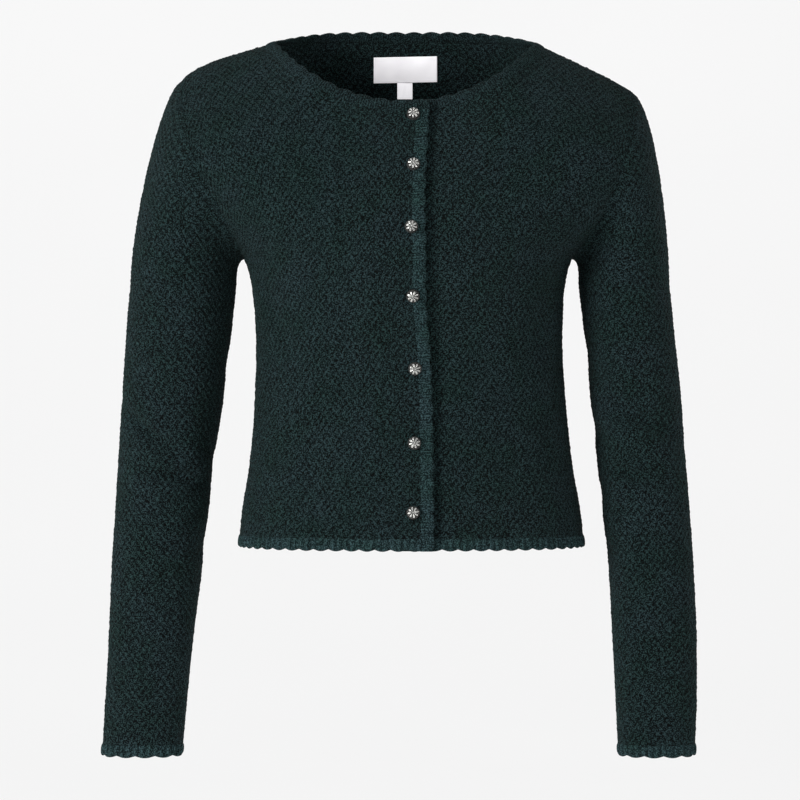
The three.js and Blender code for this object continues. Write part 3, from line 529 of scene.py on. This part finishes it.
# Sleeves: two knitted tubes in the same wool and stitch, narrowed along the underarm seam and sewn
# into the armholes. They hang a little bent, so cloth folds at the inside of each elbow.
SLEEVES = {
    # height, x and y of the ring's middle, half width, half depth
    "left": np.array([
        (-228, -207, 0, 49.5, 50), (-271, -211, -2, 49, 49), (-327, -216, -3, 47.5, 46),
        (-383, -221.5, -5, 45.5, 43), (-439, -226.5, -9, 43.5, 40), (-495, -231, -14, 42, 37),
        (-552, -235.5, -19, 39.5, 33), (-608, -239.5, -24, 38, 29), (-664, -243.5, -28, 37.2, 26),
        (-680, -244.5, -29, 37, 26),
    ], float),
    "right": np.array([
        (-228, 204.5, 0, 42.3, 54), (-271, 209, -2, 42, 53), (-327, 214.5, -3, 42.3, 49),
        (-383, 219.5, -5, 41.5, 45), (-439, 224.5, -9, 40.7, 41), (-495, 229, -14, 39.5, 38),
        (-552, 231.5, -19, 39.2, 33), (-608, 232.7, -24, 37.8, 29), (-664, 232.9, -28, 35.6, 27),
        (-680, 232.9, -29, 35.2, 27),
    ], float),
}
# height, angle from the inside by the front, half reach up and round, depth, drop per degree
SLEEVE_FOLDS = {
    "left": [(-382, 20, 13, 70, 2.4, 0.35), (-422, 40, 12, 60, 1.6, -0.3),
             (-338, 70, 16, 55, 2.2, 0.4), (-470, 0, 14, 60, 1.4, 0.2),
             (-300, 10, 16, 60, 1.4, 0.3), (-368, 110, 8, 38, 7.5, 0.5),
             (-407, 70, 8, 38, 7.5, 0.1)],
    "right": [(-375, 30, 13, 70, 2.4, -0.35), (-418, 15, 12, 65, 1.6, 0.3),
              (-330, 60, 16, 55, 2.2, -0.35), (-465, 40, 14, 55, 1.4, 0.25),
              (-290, 0, 16, 60, 1.4, 0.3), (-357, 98, 8, 42, 7.5, -0.31),
              (-405, 70, 8, 38, 7, -0.15)],
}
SLEEVE_ROUND = 2 / 2.15
CAP_END = -228.0           # height at which the sleeve's cap has become a tube
CUFF_SEAM = -654.2
SEAM_LAP = 0.8             # how far a sleeve's edge reaches into the armhole's seam


def signed_power(value, power):
    return np.sign(value) * np.abs(value) ** power


def sleeve_ring(side, angle, z):
    """Points round a sleeve, from the inside by the front, with its folds pressed in."""
    angle, z = np.broadcast_arrays(np.asarray(angle, float), np.asarray(z, float))
    rows = SLEEVES[side][::-1]
    x, y, wide, deep = [through(rows[:, 0], rows[:, k])(z) for k in (1, 2, 3, 4)]
    inwards = 1 if side == "left" else -1
    middle = np.stack([x, y, z], -1)
    ring = np.stack([x + inwards * wide * signed_power(np.cos(angle), SLEEVE_ROUND),
                     y - deep * signed_power(np.sin(angle), SLEEVE_ROUND), z], -1)
    pressed = np.zeros_like(x)
    for at_z, at_angle, high, round_it, dent, drop in SLEEVE_FOLDS[side]:
        away = (np.degrees(angle) - at_angle + 180) % 360 - 180
        rise = (z - at_z - drop * away) / high
        pressed = pressed + dent * np.exp(-(rise**2) - (away / round_it) ** 2)
    pressed = pressed * smoothstep(-z, -CAP_END - 10, -CAP_END + 40)
    towards = middle - ring
    towards /= np.linalg.norm(towards, axis=-1, keepdims=True)
    return ring + towards * pressed[..., None]


def sleeve_paths(side, count=241, steps=300):
    """Paths up a sleeve from the cuff to the armhole, as points at even steps along each.
    The cap bulges from the armhole's edge and turns down into the tube."""
    outwards = -1 if side == "left" else 1
    angle = np.linspace(0, 2 * math.pi, count)
    front = angle <= math.pi
    turn = np.where(front, angle, 2 * math.pi - angle)
    lift = (1 - np.cos(turn)) / 2
    z = UNDERARM + (ridge[side](SHOULDER[side]) - UNDERARM) * lift
    x = outwards * arm_edge(side, z)
    hole = np.where(front[:, None], body_point("front", x, z, seam=0),
                    body_point("back", x, z, seam=0))
    across = np.stack([outwards * 0.45 * lift, np.where(front, -1.1, 1.1) * np.sin(turn),
                       1.9 * lift - 1], -1)
    around = np.gradient(np.concatenate([hole[-2:-1], hole, hole[1:2]]), axis=0)[1:-1]
    away = np.cross(around, across)
    away /= np.linalg.norm(away, axis=-1, keepdims=True)
    away *= np.sign(away[:, :1] * outwards)
    start = hole - away * SEAM_LAP
    end = sleeve_ring(side, angle, np.full(count, CAP_END))
    span = np.linalg.norm(end - start, axis=-1, keepdims=True)
    paths = []
    lengths = []
    t = np.linspace(0, 1, 120)[:-1, None]
    tube_z = np.linspace(CAP_END, CUFF_SEAM, 300)
    for k in range(count):
        cap = start[k] * (2 * t**3 - 3 * t**2 + 1) + end[k] * (3 * t**2 - 2 * t**3)
        cap = cap + away[k] * (t**3 - 2 * t**2 + t) * min(70, span[k, 0])
        cap[:, 2:] -= (t**3 - t**2) * min(140, span[k, 0])
        path = np.concatenate([cap, sleeve_ring(side, angle[k], tube_z)])[::-1]
        run = run_length(path)
        even = np.linspace(0, run[-1], steps)
        paths.append(np.stack([np.interp(even, run, path[:, axis]) for axis in range(3)], -1))
        lengths.append(run[-1])
    return np.array(paths), np.array(lengths)


def knit_sleeve(name, side):
    """A sleeve with whole stitches counted out both ways from its outer side."""
    paths, lengths = sleeve_paths(side)
    count, steps = paths.shape[:2]
    middle = count // 2
    rows = math.ceil(lengths.max() / STITCH[1]) * STEPS[1]
    levels = np.arange(rows + 1) * STITCH[1] / STEPS[1]
    rounds = []
    for level in levels:
        level = min(level, lengths[0])
        ring = between(paths, np.arange(count, dtype=float), level / lengths * (steps - 1))
        run = run_length(ring)
        rounds.append(run - run[middle])
    rounds = np.array(rounds)
    half = math.ceil(np.abs(rounds).max() / STITCH[0]) * STEPS[0]
    place = np.arange(-half, half + 1) * STITCH[0] / STEPS[0]
    place = np.clip(place[None, :], rounds[:, :1], rounds[:, -1:])
    across = np.array([np.interp(place[j], rounds[j], np.arange(count)) for j in range(rows + 1)])
    length = np.interp(across, np.arange(count), lengths)
    height = np.minimum(levels[:, None], length)
    u = place / STITCH[0] + 0.5 / STEPS[0]
    side_gap = np.minimum(place - rounds[:, :1], rounds[:, -1:] - place)
    near_edge = np.minimum(np.minimum(height, length - height), side_gap)
    piece = knit(name, paths, lengths, across, height, u, near_edge, wool, False)
    return piece


right_sleeve = knit_sleeve("right_sleeve_panel", "left")
left_sleeve = knit_sleeve("left_sleeve_panel", "right")
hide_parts("right_sleeve")
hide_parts("left_sleeve")

# Hem and cuff bands: 1x1 rib picked up along the lower edges, about a finger's width deep.
# The free edge pulls into small arcs, one every two or three ribs.
HEM_BOTTOM = -473.0
CUFF_BOTTOM = -665.5
BAND = 11.0
SCALLOP = 1.8
RIB = 6.2                  # from one rib to the next, and how far the ribs stand out
RIB_DEEP = 0.55
HEM_ARC = 14.5             # from one small arc to the next
CUFF_ARC = 3 * RIB
# The rib wool's colours are painted lighter than the panels', standing in for the brighter light
# that falls on the cuffs low down; the hem bands and button strips share it.
rib_wool_painted_lighter = dyed_wool("wool, knitted in rib, painted lighter", "#0d1617", "#1b2c2d", "#3a5153", 0.14, ribbed=True)
# The neckband's wool is painted darker than the rib's, as painted shade on its top, which faces up
# into the light.
neck_wool_painted_darker = dyed_wool("wool, picked up at the neck, painted darker", "#080d0e", "#121e1f", "#2e4042", 0.2,
                      ribbed=True)
# outline of a band's section: share of the way from the seam to the free edge, height over the
# cloth, and how far the ribs show
SECTION = np.array([
    (-0.06, -0.25, 0.3), (0.1, 0.3, 0.8), (0.3, 0.6, 1.0), (0.55, 0.7, 1.0), (0.8, 0.5, 1.0),
    (0.95, -0.1, 1.0), (1.02, -1.1, 0.5), (0.97, -2.1, 0.4), (0.75, -2.5, 0.4), (0.4, -2.4, 0.3),
    (-0.06, -2.3, 0.0),
])


def arcs(along, pitch):
    """0 at the tip of each small arc and 1 in the notch between two."""
    return 1 - np.abs(np.sin(math.pi * along / pitch))


def even_places(points, step):
    """Evenly spaced fractional places along a row of points, and the distance to each."""
    run = run_length(points)
    count = max(int(round(run[-1] / step)), 4)
    along = np.linspace(0, run[-1], count + 1)
    return np.interp(along, run, np.arange(len(points))), along


def knit_band(name, seam_line, free_line, outwards, along, pitch, deep, closed=False):
    """A ribbed band between its seam line and its free edge. Its section is swept along it, and
    its ends are filled unless it closes into a ring."""
    if closed:
        around = np.concatenate([seam_line[-2:-1], seam_line, seam_line[1:2]])
        direction = np.gradient(around, axis=0)[1:-1]
    else:
        direction = np.gradient(seam_line, axis=0)
    reach_out = free_line - seam_line
    normal = np.cross(direction, reach_out)
    normal /= np.linalg.norm(normal, axis=-1, keepdims=True)
    normal *= np.sign((normal * outwards).sum(-1, keepdims=True))
    stray = (np.random.default_rng(len(name)).random(len(along) + 8) - 0.5).cumsum()
    stray -= np.linspace(stray[0], stray[-1], len(stray))
    phase = along / pitch + 0.02 * stray[:len(along)]
    rib = np.cos(2 * math.pi * phase)
    tall = 0.85 + 0.3 * chance[3, 7, np.floor(phase + 0.5).astype(int) % DRAWS]
    rings = []
    uvs = []
    band_width = np.linalg.norm(reach_out, axis=-1)
    for share, height, show in SECTION:
        out = height + show * deep * rib * tall
        rings.append(seam_line + reach_out * share + normal * out[:, None])
        inside = 2.0 if height < -1 else 0.0
        uvs.append(np.stack([phase, band_width * share / (STITCH[1] / 2) + inside], -1))
    rings.append(rings[0])
    uvs.append(uvs[-1] + [0, 0.5])
    rings = np.array(rings)
    if closed:
        rings[:, -1] = rings[:, 0]
    faces = [grid_faces(*rings.shape[:2])]
    points = rings.reshape(-1, 3)
    uvs = np.array(uvs).reshape(-1, 2)
    if not closed:
        for end in (0, -1):
            ring = np.arange(len(rings) * rings.shape[1]).reshape(len(rings), -1)[:, end]
            points = np.concatenate([points, points[ring].mean(0, keepdims=True)])
            uvs = np.concatenate([uvs, uvs[ring[:1]]])
            faces.append(np.array([(len(points) - 1, a, b) for a, b in zip(ring[:-1], ring[1:])]))
    # The neckband takes the wool painted darker, and the other bands the wool painted lighter.
    dyed = neck_wool_painted_darker if name == "neck_band" else rib_wool_painted_lighter
    piece = add_piece(name, points, np.concatenate(faces), dyed, uvs)
    return piece


def hem_band(name, face, from_x, to_x, lapping=False):
    count = 600
    x = from_x + (to_x - from_x) * (1 - np.cos(math.pi * np.linspace(0, 1, count))) / 2
    places, along = even_places(body_point(face, x, HEM_BOTTOM, lapping), RIB / 8)
    x = np.interp(places, np.arange(count), x)
    seam_z = HEM_BOTTOM + BAND
    scale = reach["left"](seam_z) / reach["left"](HEM_BOTTOM)
    seam_line = body_point(face, x * scale, seam_z, lapping)
    free = HEM_BOTTOM + SCALLOP * arcs(along, HEM_ARC)
    free_line = body_point(face, x, HEM_BOTTOM, lapping)
    free_line = seam_line + (free_line - seam_line) * ((seam_z - free) / BAND)[:, None]
    outwards = (seam_line - [0, 0, seam_z]) * [1, 1, 0]
    return knit_band(name, seam_line, free_line, outwards, along, RIB, RIB_DEEP)


low_left, low_right = -reach["left"](HEM_BOTTOM), reach["right"](HEM_BOTTOM)
STRIP_GAP = 0.3            # between the end of a hem band and the strip beside it
back_hem = hem_band("back_hem_band", "back", low_left, low_right)
right_front_hem = hem_band("right_front_hem_band", "front", low_left,
                           top_edge(HEM_BOTTOM) - STRIP_GAP, lapping=True)
left_front_hem = hem_band("left_front_hem_band", "front", UNDER_EDGE + STRIP + STRIP_GAP, low_right)
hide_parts("back_hem")
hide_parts("right_front_hem")
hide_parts("left_front_hem")


def cuff_band(name, side):
    """A band round a cuff, with a whole number of arcs in its length."""
    count = 1200
    angle = np.linspace(0, 2 * math.pi, count)
    places, along = even_places(sleeve_ring(side, angle, CUFF_BOTTOM), RIB / 8)
    along = along * (round(along[-1] / CUFF_ARC) * CUFF_ARC / along[-1])
    turn = places / (count - 1) * 2 * math.pi
    seam_line = sleeve_ring(side, turn, CUFF_BOTTOM + BAND)
    free_line = sleeve_ring(side, turn, CUFF_BOTTOM + SCALLOP * arcs(along, CUFF_ARC))
    outwards = (seam_line - seam_line.mean(0)) * [1, 1, 0]
    return knit_band(name, seam_line, free_line, outwards, along, RIB, RIB_DEEP, closed=True)


right_cuff = cuff_band("right_cuff_band", "left")
left_cuff = cuff_band("left_cuff_band", "right")
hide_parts("right_cuff")
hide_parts("left_cuff")

# Button strips: a narrow band knitted on down the edge of each front, with fine ribs that lie
# across it. The one on top shows whole, and the one under it is mostly hidden.
STRIP_RIB = 2.5
STRIP_RIB_DEEP = 0.2
STRIP_ARC = 17


def button_strip(name, seam_x, free_x, outwards, lapping):
    count = 1200
    top = float(top_height("front", seam_x(NECK_DROP["front"])))
    z = np.linspace(HEM_BOTTOM, top, count)
    places, along = even_places(body_point("front", seam_x(z), z, lapping), STRIP_RIB / 6)
    z = np.interp(places, np.arange(count), z)
    share = (z - HEM_BOTTOM) / (top - HEM_BOTTOM)
    notch = SCALLOP * arcs(z - HEM_BOTTOM, STRIP_ARC) * (share < 0.999)
    near = seam_x(z) - outwards * 0.1
    far = free_x(z) - outwards * notch
    tilt = float(top_height("front", free_x(top)) - top)
    seam_line = body_point("front", near, z, lapping)
    free_line = body_point("front", far, z + share * tilt, lapping)
    return knit_band(name, seam_line, free_line, np.array([0.0, -1.0, 0.0]), along, STRIP_RIB,
                     STRIP_RIB_DEEP)


def under_free(z):
    return UNDER_EDGE + 0 * z


top_strip = button_strip("right_front_strip_band", top_edge, front_edge, 1, True)
under_strip = button_strip("left_front_strip_band", under_edge, under_free, -1, False)
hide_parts("right_front_strip")
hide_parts("left_front_strip")

# Neckband: stitches picked up all round the neck and knitted out a finger's width in fine rib.
# Its cast-off edge draws into rounded arcs, and it is a shade lighter than the panels, but its
# colours are painted darker than the other bands' as painted shade on its upturned top.
NECK_RIB = 2.4
NECK_RIB_DEEP = 0.18
NECK_ARC = 18


def neck_band():
    """The band from the edge of the front on top, round the back, to the edge of the one under."""
    turn_over = math.asin(float(front_edge(NECK_DROP["front"])) / NECK_HALF)
    under_over = math.asin(UNDER_EDGE / NECK_HALF)
    quarter = math.pi / 2
    pieces = [("front", np.linspace(turn_over, -quarter, 500), True),
              ("back", np.linspace(-quarter, quarter, 900)[1:], False),
              ("front", np.linspace(quarter, under_over, 450)[1:], False)]
    lines = []
    for out in (0.0, 1.0):
        parts = []
        for face, turn, lapping in pieces:
            x, z = neck_line(face, np.sin(turn), out)
            parts.append(body_point(face, x, z, lapping, seam=0))
        lines.append(np.concatenate(parts))
    places, along = even_places(lines[0], NECK_RIB / 6)
    whole = np.arange(len(lines[0]))
    seam_line, full = [np.stack([np.interp(places, whole, line[:, axis]) for axis in range(3)], -1)
                       for line in lines]
    grow = 1 - SCALLOP / NECK_BAND * arcs(along, NECK_ARC)
    free_line = seam_line + (full - seam_line) * grow[:, None]
    middle = np.array([0.0, 0.0, -60.0])
    outwards = (seam_line - middle) * [0.6, 1, 0.6]
    return knit_band("neck_band", seam_line, free_line, outwards, along, NECK_RIB, NECK_RIB_DEEP)


neckband = neck_band()
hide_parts("neckband")

# Buttons: seven cast metal shank buttons, 12 mm across, on the line of the wearer's middle.
# Each is an openwork dome of small loops and beads, darkened in its hollows like old silver.
# height and x of each
BUTTONS = [(-78.3, 7.4), (-124.7, 7.4), (-181.2, 5.5), (-242.8, 6.8), (-308.2, 8.8), (-375.7, 8.2),
           (-438.2, 7)]
PETALS = 8
PETAL_MIDDLE = 3.35        # distance of a petal's middle from the button's, and half its length
PETAL_REACH = 1.35
BUTTON_CLEAR = 0.9         # how far a button's foot stands off the knitting
BUTTON_SPIN = 0.7          # how far each one is turned from the last, in radians


def old_silver():
    """Cast white metal, darkened in its hollows and rubbed bright on its high places. The grain
    of the casting is about 1 mm, and the mesh carries how rubbed each wire and bead is."""
    material, tree = new_material("white metal, cast and darkened")
    rubbed = add_node(tree, "ShaderNodeUVMap", uv_map="stitches")
    place = add_node(tree, "ShaderNodeSeparateXYZ", {0: rubbed.outputs[0]})
    spot = add_node(tree, "ShaderNodeTexCoord")
    grain = add_node(tree, "ShaderNodeTexNoise", {
        "Vector": spot.outputs["Object"], "Scale": 900.0, "Detail": 3.0})
    worn = add_node(tree, "ShaderNodeMath", {
        0: grain.outputs["Fac"], 1: 0.5, 2: place.outputs["X"]}, operation="MULTIPLY_ADD")
    tone = ramp(tree, worn.outputs[0], [(0.25, "#0b0c0b"), (0.6, "#565755"), (1.0, "#dededa")])
    dull = add_node(tree, "ShaderNodeMapRange", {
        "Value": worn.outputs[0], "From Min": 0.2, "From Max": 1.0, "To Min": 0.65,
        "To Max": 0.24})
    bump = add_node(tree, "ShaderNodeBump", {
        "Strength": 0.3, "Distance": 0.1 * MM, "Height": grain.outputs["Fac"]})
    shader = add_node(tree, "ShaderNodeBsdfPrincipled", {
        "Base Color": tone.outputs["Color"], "Metallic": 0.55, "Roughness": dull.outputs[0],
        "Normal": bump.outputs[0]})
    add_node(tree, "ShaderNodeOutputMaterial", {"Surface": shader.outputs[0]})
    return material


def wire(path, thick):
    """A closed loop of round wire along a ring of points, as points and faces."""
    around = np.roll(path, -1, 0) - np.roll(path, 1, 0)
    around /= np.linalg.norm(around, axis=-1, keepdims=True)
    side = np.cross(around, [0.0, 0.0, 1.0])
    side /= np.linalg.norm(side, axis=-1, keepdims=True) + 1e-9
    lift = np.cross(side, around)
    turn = np.linspace(0, 2 * math.pi, 7)[:, None, None]
    points = path[None] + thick * (np.cos(turn) * side + np.sin(turn) * lift)
    points = np.concatenate([points, points[:, :1]], 1)
    return points.reshape(-1, 3), grid_faces(*points.shape[:2])


def turned(profile, sides):
    """A form turned on the button's axis, from (radius, height) pairs."""
    turn = np.linspace(0, 2 * math.pi, sides + 1)
    profile = np.asarray(profile, float)
    points = np.stack([profile[:, :1] * np.cos(turn), profile[:, :1] * np.sin(turn),
                       profile[:, 1:] + 0 * turn], -1)
    return points.reshape(-1, 3), grid_faces(*points.shape[:2])


def dome_height(radius):
    return 1.0 + 4.2 * np.sqrt(np.maximum(1 - (radius / 6.3) ** 2, 0))


def join(parts):
    """One mesh from parts of ((points, faces), how rubbed they are)."""
    points = []
    faces = []
    rubbed = []
    for (part_points, part_faces), bright in parts:
        faces.append(part_faces + sum(len(p) for p in points))
        points.append(part_points)
        rubbed.append(np.full((len(part_points), 2), bright))
    return np.concatenate(points), np.concatenate(faces), np.concatenate(rubbed)


def bead(x, y, radius):
    ball = [(0, -radius), (0.7 * radius, -0.7 * radius), (radius, 0), (0.7 * radius, 0.7 * radius),
            (0, radius)]
    points, faces = turned(ball, 8)
    return points + [x, y, float(dome_height(math.hypot(x, y)))], faces


def openwork_button():
    """A dark cup on its shank, two rims of twisted wire, petals of wire, and beads between them
    and round the middle."""
    cup = [(0, 0.3), (4.6, 0.3), (5.5, 0.8), (5.1, 1.5), (4.0, 2.6), (2.4, 3.6), (0, 4.1)]
    shank = [(0, -0.5), (1.3, -0.5), (1.1, 0.6), (0, 0.6)]
    parts = [(turned(cup, 32), 0.0), (turned(shank, 12), 0.1)]
    rim = np.linspace(0, 2 * math.pi, 49)[:-1]
    for radius, high in ((5.75, 1.25), (5.2, 2.35)):
        wave = 0.12 * np.cos(24 * rim)
        ring = np.stack([(radius + wave) * np.cos(rim), (radius + wave) * np.sin(rim),
                         np.full(len(rim), high)], -1)
        parts.append((wire(ring, 0.3), 0.12))
    for k in range(PETALS):
        middle = 2 * math.pi * k / PETALS
        loop = np.linspace(0, 2 * math.pi, 17)[:-1]
        out = PETAL_MIDDLE + PETAL_REACH * np.cos(loop)
        swing = middle + 0.17 * np.sin(loop) * (0.8 + 0.2 * np.cos(loop))
        petal = np.stack([out * np.cos(swing), out * np.sin(swing), dome_height(out) + 0.25], -1)
        parts.append((wire(petal, 0.28 + 0.14 * chance[3, k, 0]), 0.55 + 0.4 * chance[3, k, 1]))
        gap = middle + math.pi / PETALS
        parts.append((bead(4.9 * math.cos(gap), 4.9 * math.sin(gap), 0.42), 0.4))
    for k in range(6):
        around = math.pi * k / 3
        parts.append((bead(1.35 * math.cos(around), 1.35 * math.sin(around), 0.45), 0.7))
    parts.append((bead(0, 0, 0.7), 0.9))
    return join(parts)


silver = old_silver()
button_points, button_faces, button_rubbed = openwork_button()
for number, (button_z, button_x) in enumerate(BUTTONS, 1):
    foot, right, above = body_point("front", np.array([button_x, button_x + 4, button_x]),
                                    np.array([button_z, button_z, button_z + 4]), lapping=True)
    normal = np.cross(right - foot, above - foot)
    normal /= np.linalg.norm(normal)
    spin = BUTTON_SPIN * number
    across = np.cross([0.0, 0.0, 1.0], normal)
    across /= np.linalg.norm(across)
    upright = np.cross(normal, across)
    first = across * math.cos(spin) + upright * math.sin(spin)
    second = np.cross(normal, first)
    placed = foot + normal * BUTTON_CLEAR + button_points @ np.array([first, second, normal])
    button = add_piece(f"button_{number}_openwork", placed, button_faces, silver, button_rubbed)
    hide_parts(f"button_{number}")

# Neck label and size tab: plain white woven ribbon with folded ends, hand-stitched inside the back
# neck at its two short ends. Both are left bare.
# x of the middle, width, height of the top edge, length downwards
LABEL = (0.5, 61.0, -7.0, 24.0)
TAB = (0.0, 14.5, -31.5, 15.0)
RIBBON_CLEAR = 0.7         # between a ribbon and the inside of the back
RIBBON_THICK = 0.8


def woven_ribbon(name, painted_glow):
    """White polyester satin ribbon: a soft gloss over fine ribs. The real one has about 3 threads
    to a millimetre, which are drawn 0.6 mm apart so that they show. The second argument is the
    strength of a glow that is painted light, so that the ribbon stays bright where it lies in shade
    inside the back neck."""
    material, tree = new_material(name)
    spot = add_node(tree, "ShaderNodeTexCoord")
    weft = add_node(tree, "ShaderNodeTexWave", {
        "Vector": spot.outputs["Object"], "Scale": 500.0, "Distortion": 0.4}, bands_direction="Z")
    # faint unevenness about 11 mm across
    soil = add_node(tree, "ShaderNodeTexNoise", {
        "Vector": spot.outputs["Object"], "Scale": 90.0, "Detail": 3.0})
    tone = ramp(tree, soil.outputs["Fac"], [(0.3, "#dcd9dc"), (0.6, "#f2f0f2"), (0.8, "#faf9fa")])
    bump = add_node(tree, "ShaderNodeBump", {
        "Strength": 0.35, "Distance": 0.2 * MM, "Height": weft.outputs["Fac"]})
    shader = add_node(tree, "ShaderNodeBsdfPrincipled", {
        "Base Color": tone.outputs["Color"], "Roughness": 0.5, "Sheen Weight": 0.15,
        "Emission Color": linear("#f2f0f4"), "Emission Strength": painted_glow,
        "Normal": bump.outputs[0]})
    add_node(tree, "ShaderNodeOutputMaterial", {"Surface": shader.outputs[0]})
    return material


# Both ribbons glow as painted light; the size tab glows more, as it lies deeper in shade under the
# neckband.
ribbon = woven_ribbon("polyester ribbon, woven", 0.37)
tab_ribbon_painted_brighter = woven_ribbon("polyester ribbon, woven narrow, with more painted glow", 0.62)


def inside_back(x, z, clear):
    """A point inside the back panel, a little clear of it."""
    x, z = np.broadcast_arrays(np.asarray(x, float), np.asarray(z, float))
    at = body_point("back", x, z)
    normal = np.cross(body_point("back", x, z + 4) - body_point("back", x, z - 4),
                      body_point("back", x + 4, z) - body_point("back", x - 4, z))
    normal /= np.linalg.norm(normal, axis=-1, keepdims=True)
    normal *= np.sign(normal[..., 1:2])
    return at - normal * np.asarray(clear)[..., None]


def sew_ribbon(name, size, lean, ripple, material):
    """A flat sleeve of ribbon, two layers thick, that waves a little between its stitched ends."""
    middle_x, wide, top, high = size
    across, down = 61, 25
    s = np.linspace(-0.5, 0.5, across)[:, None] + np.zeros((1, down))
    t = np.linspace(0, 1, down)[None, :] + np.zeros((across, 1))
    x = middle_x + s * wide
    z = top - t * high + lean * s
    wave = np.cos(2 * math.pi * 3 * s + 4 * t) * 0.3 + np.sin(math.pi * t)
    puff = ripple * wave * np.cos(math.pi * s)
    front = inside_back(x, z, WALL + RIBBON_CLEAR + RIBBON_THICK + puff)
    behind = inside_back(x, z, WALL + RIBBON_CLEAR + puff * 0.6)
    ring = np.concatenate([front, behind[:, ::-1], front[:, :1]], 1)
    faces = [grid_faces(*ring.shape[:2])]
    points = ring.reshape(-1, 3)
    index = np.arange(len(points)).reshape(ring.shape[:2])
    last = 2 * down - 1
    for end in (0, -1):
        row = index[end, :-1]
        for k in range(down - 1):
            faces.append(np.array([(row[k], row[k + 1], row[last - 1 - k]),
                                   (row[k], row[last - 1 - k], row[last - k])]))
    return add_piece(name, points, np.concatenate(faces), material)


label = sew_ribbon("neck_label", LABEL, 1.2, 0.7, ribbon)
tab = sew_ribbon("size_tab_ribbon", TAB, 0.0, 0.4, tab_ribbon_painted_brighter)
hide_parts("label")
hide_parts("size_tab")

# Studio: a pale paper sweep that runs from the floor up behind, and soft light that comes mostly
# from the viewer's left. Its sizes are in metres.
FLOOR = -0.9
SWEEP_BEND = 1.2
SWEEP_BACK = 2.8
SWEEP_FRONT = -6.0
SWEEP_TOP = 5.0
SWEEP_SIDE = 7.0


def paper_sweep():
    """Matt white background paper, evenly lit, with a barely visible cloudiness 0.3 m across."""
    material, tree = new_material("paper, matt white")
    spot = add_node(tree, "ShaderNodeTexCoord")
    cloud = add_node(tree, "ShaderNodeTexNoise", {"Vector": spot.outputs["Object"], "Scale": 3.0})
    tone = ramp(tree, cloud.outputs["Fac"], [(0.3, "#797979"), (0.7, "#7b7b7b")])
    shader = add_node(tree, "ShaderNodeBsdfPrincipled", {
        "Base Color": tone.outputs["Color"], "Roughness": 0.95, "Specular IOR Level": 0.1,
        "Emission Color": linear("#ffffff"), "Emission Strength": 0.74})
    add_node(tree, "ShaderNodeOutputMaterial", {"Surface": shader.outputs[0]})
    return material


bend = [(SWEEP_BACK - SWEEP_BEND * (1 - math.sin(a)), FLOOR + SWEEP_BEND * (1 - math.cos(a)))
        for a in np.linspace(0, math.pi / 2, 17)]
profile = [(SWEEP_FRONT, FLOOR)] + bend + [(SWEEP_BACK, SWEEP_TOP)]
sweep_mesh = bpy.data.meshes.new("paper_sweep")
sweep_points = [(x, y, z) for y, z in profile for x in (-SWEEP_SIDE, SWEEP_SIDE)]
sweep_faces = [(2 * k, 2 * k + 1, 2 * k + 3, 2 * k + 2) for k in range(len(profile) - 1)]
sweep_mesh.from_pydata(sweep_points, [], sweep_faces)
sweep_mesh.polygons.foreach_set("use_smooth", [True] * len(sweep_faces))
sweep_mesh.materials.append(paper_sweep())
sweep = bpy.data.objects.new("paper_sweep", sweep_mesh)
bpy.context.scene.collection.objects.link(sweep)


def soft_light(name, place, aim, size, power):
    """A square softbox with white light: its side in metres and its power in watts."""
    data = bpy.data.lights.new(name, "AREA")
    data.size = size
    data.energy = power
    lamp = bpy.data.objects.new(name, data)
    lamp.location = place
    lamp.rotation_euler = (Vector(aim) - Vector(place)).to_track_quat("-Z", "Y").to_euler()
    bpy.context.scene.collection.objects.link(lamp)


soft_light("key", (-2.6, -2.3, 0.3), (0, 0, -0.33), 1.2, 118)
soft_light("fill", (1.0, -3.2, -1.0), (0, 0, -0.5), 1.8, 34)
soft_light("side", (3.2, -0.8, 0.2), (0, 0, -0.33), 1.4, 24)
soft_light("top", (-0.3, -0.2, 2.2), (0, 0, -0.3), 1.6, 10)
world = bpy.data.worlds.new("studio")
world.use_nodes = True
room = world.node_tree.nodes["Background"]
room.inputs["Color"].default_value = linear("#f4f6f7")
room.inputs["Strength"].default_value = 0.36
bpy.context.scene.world = world
bpy.context.scene.view_settings.view_transform = "Standard"
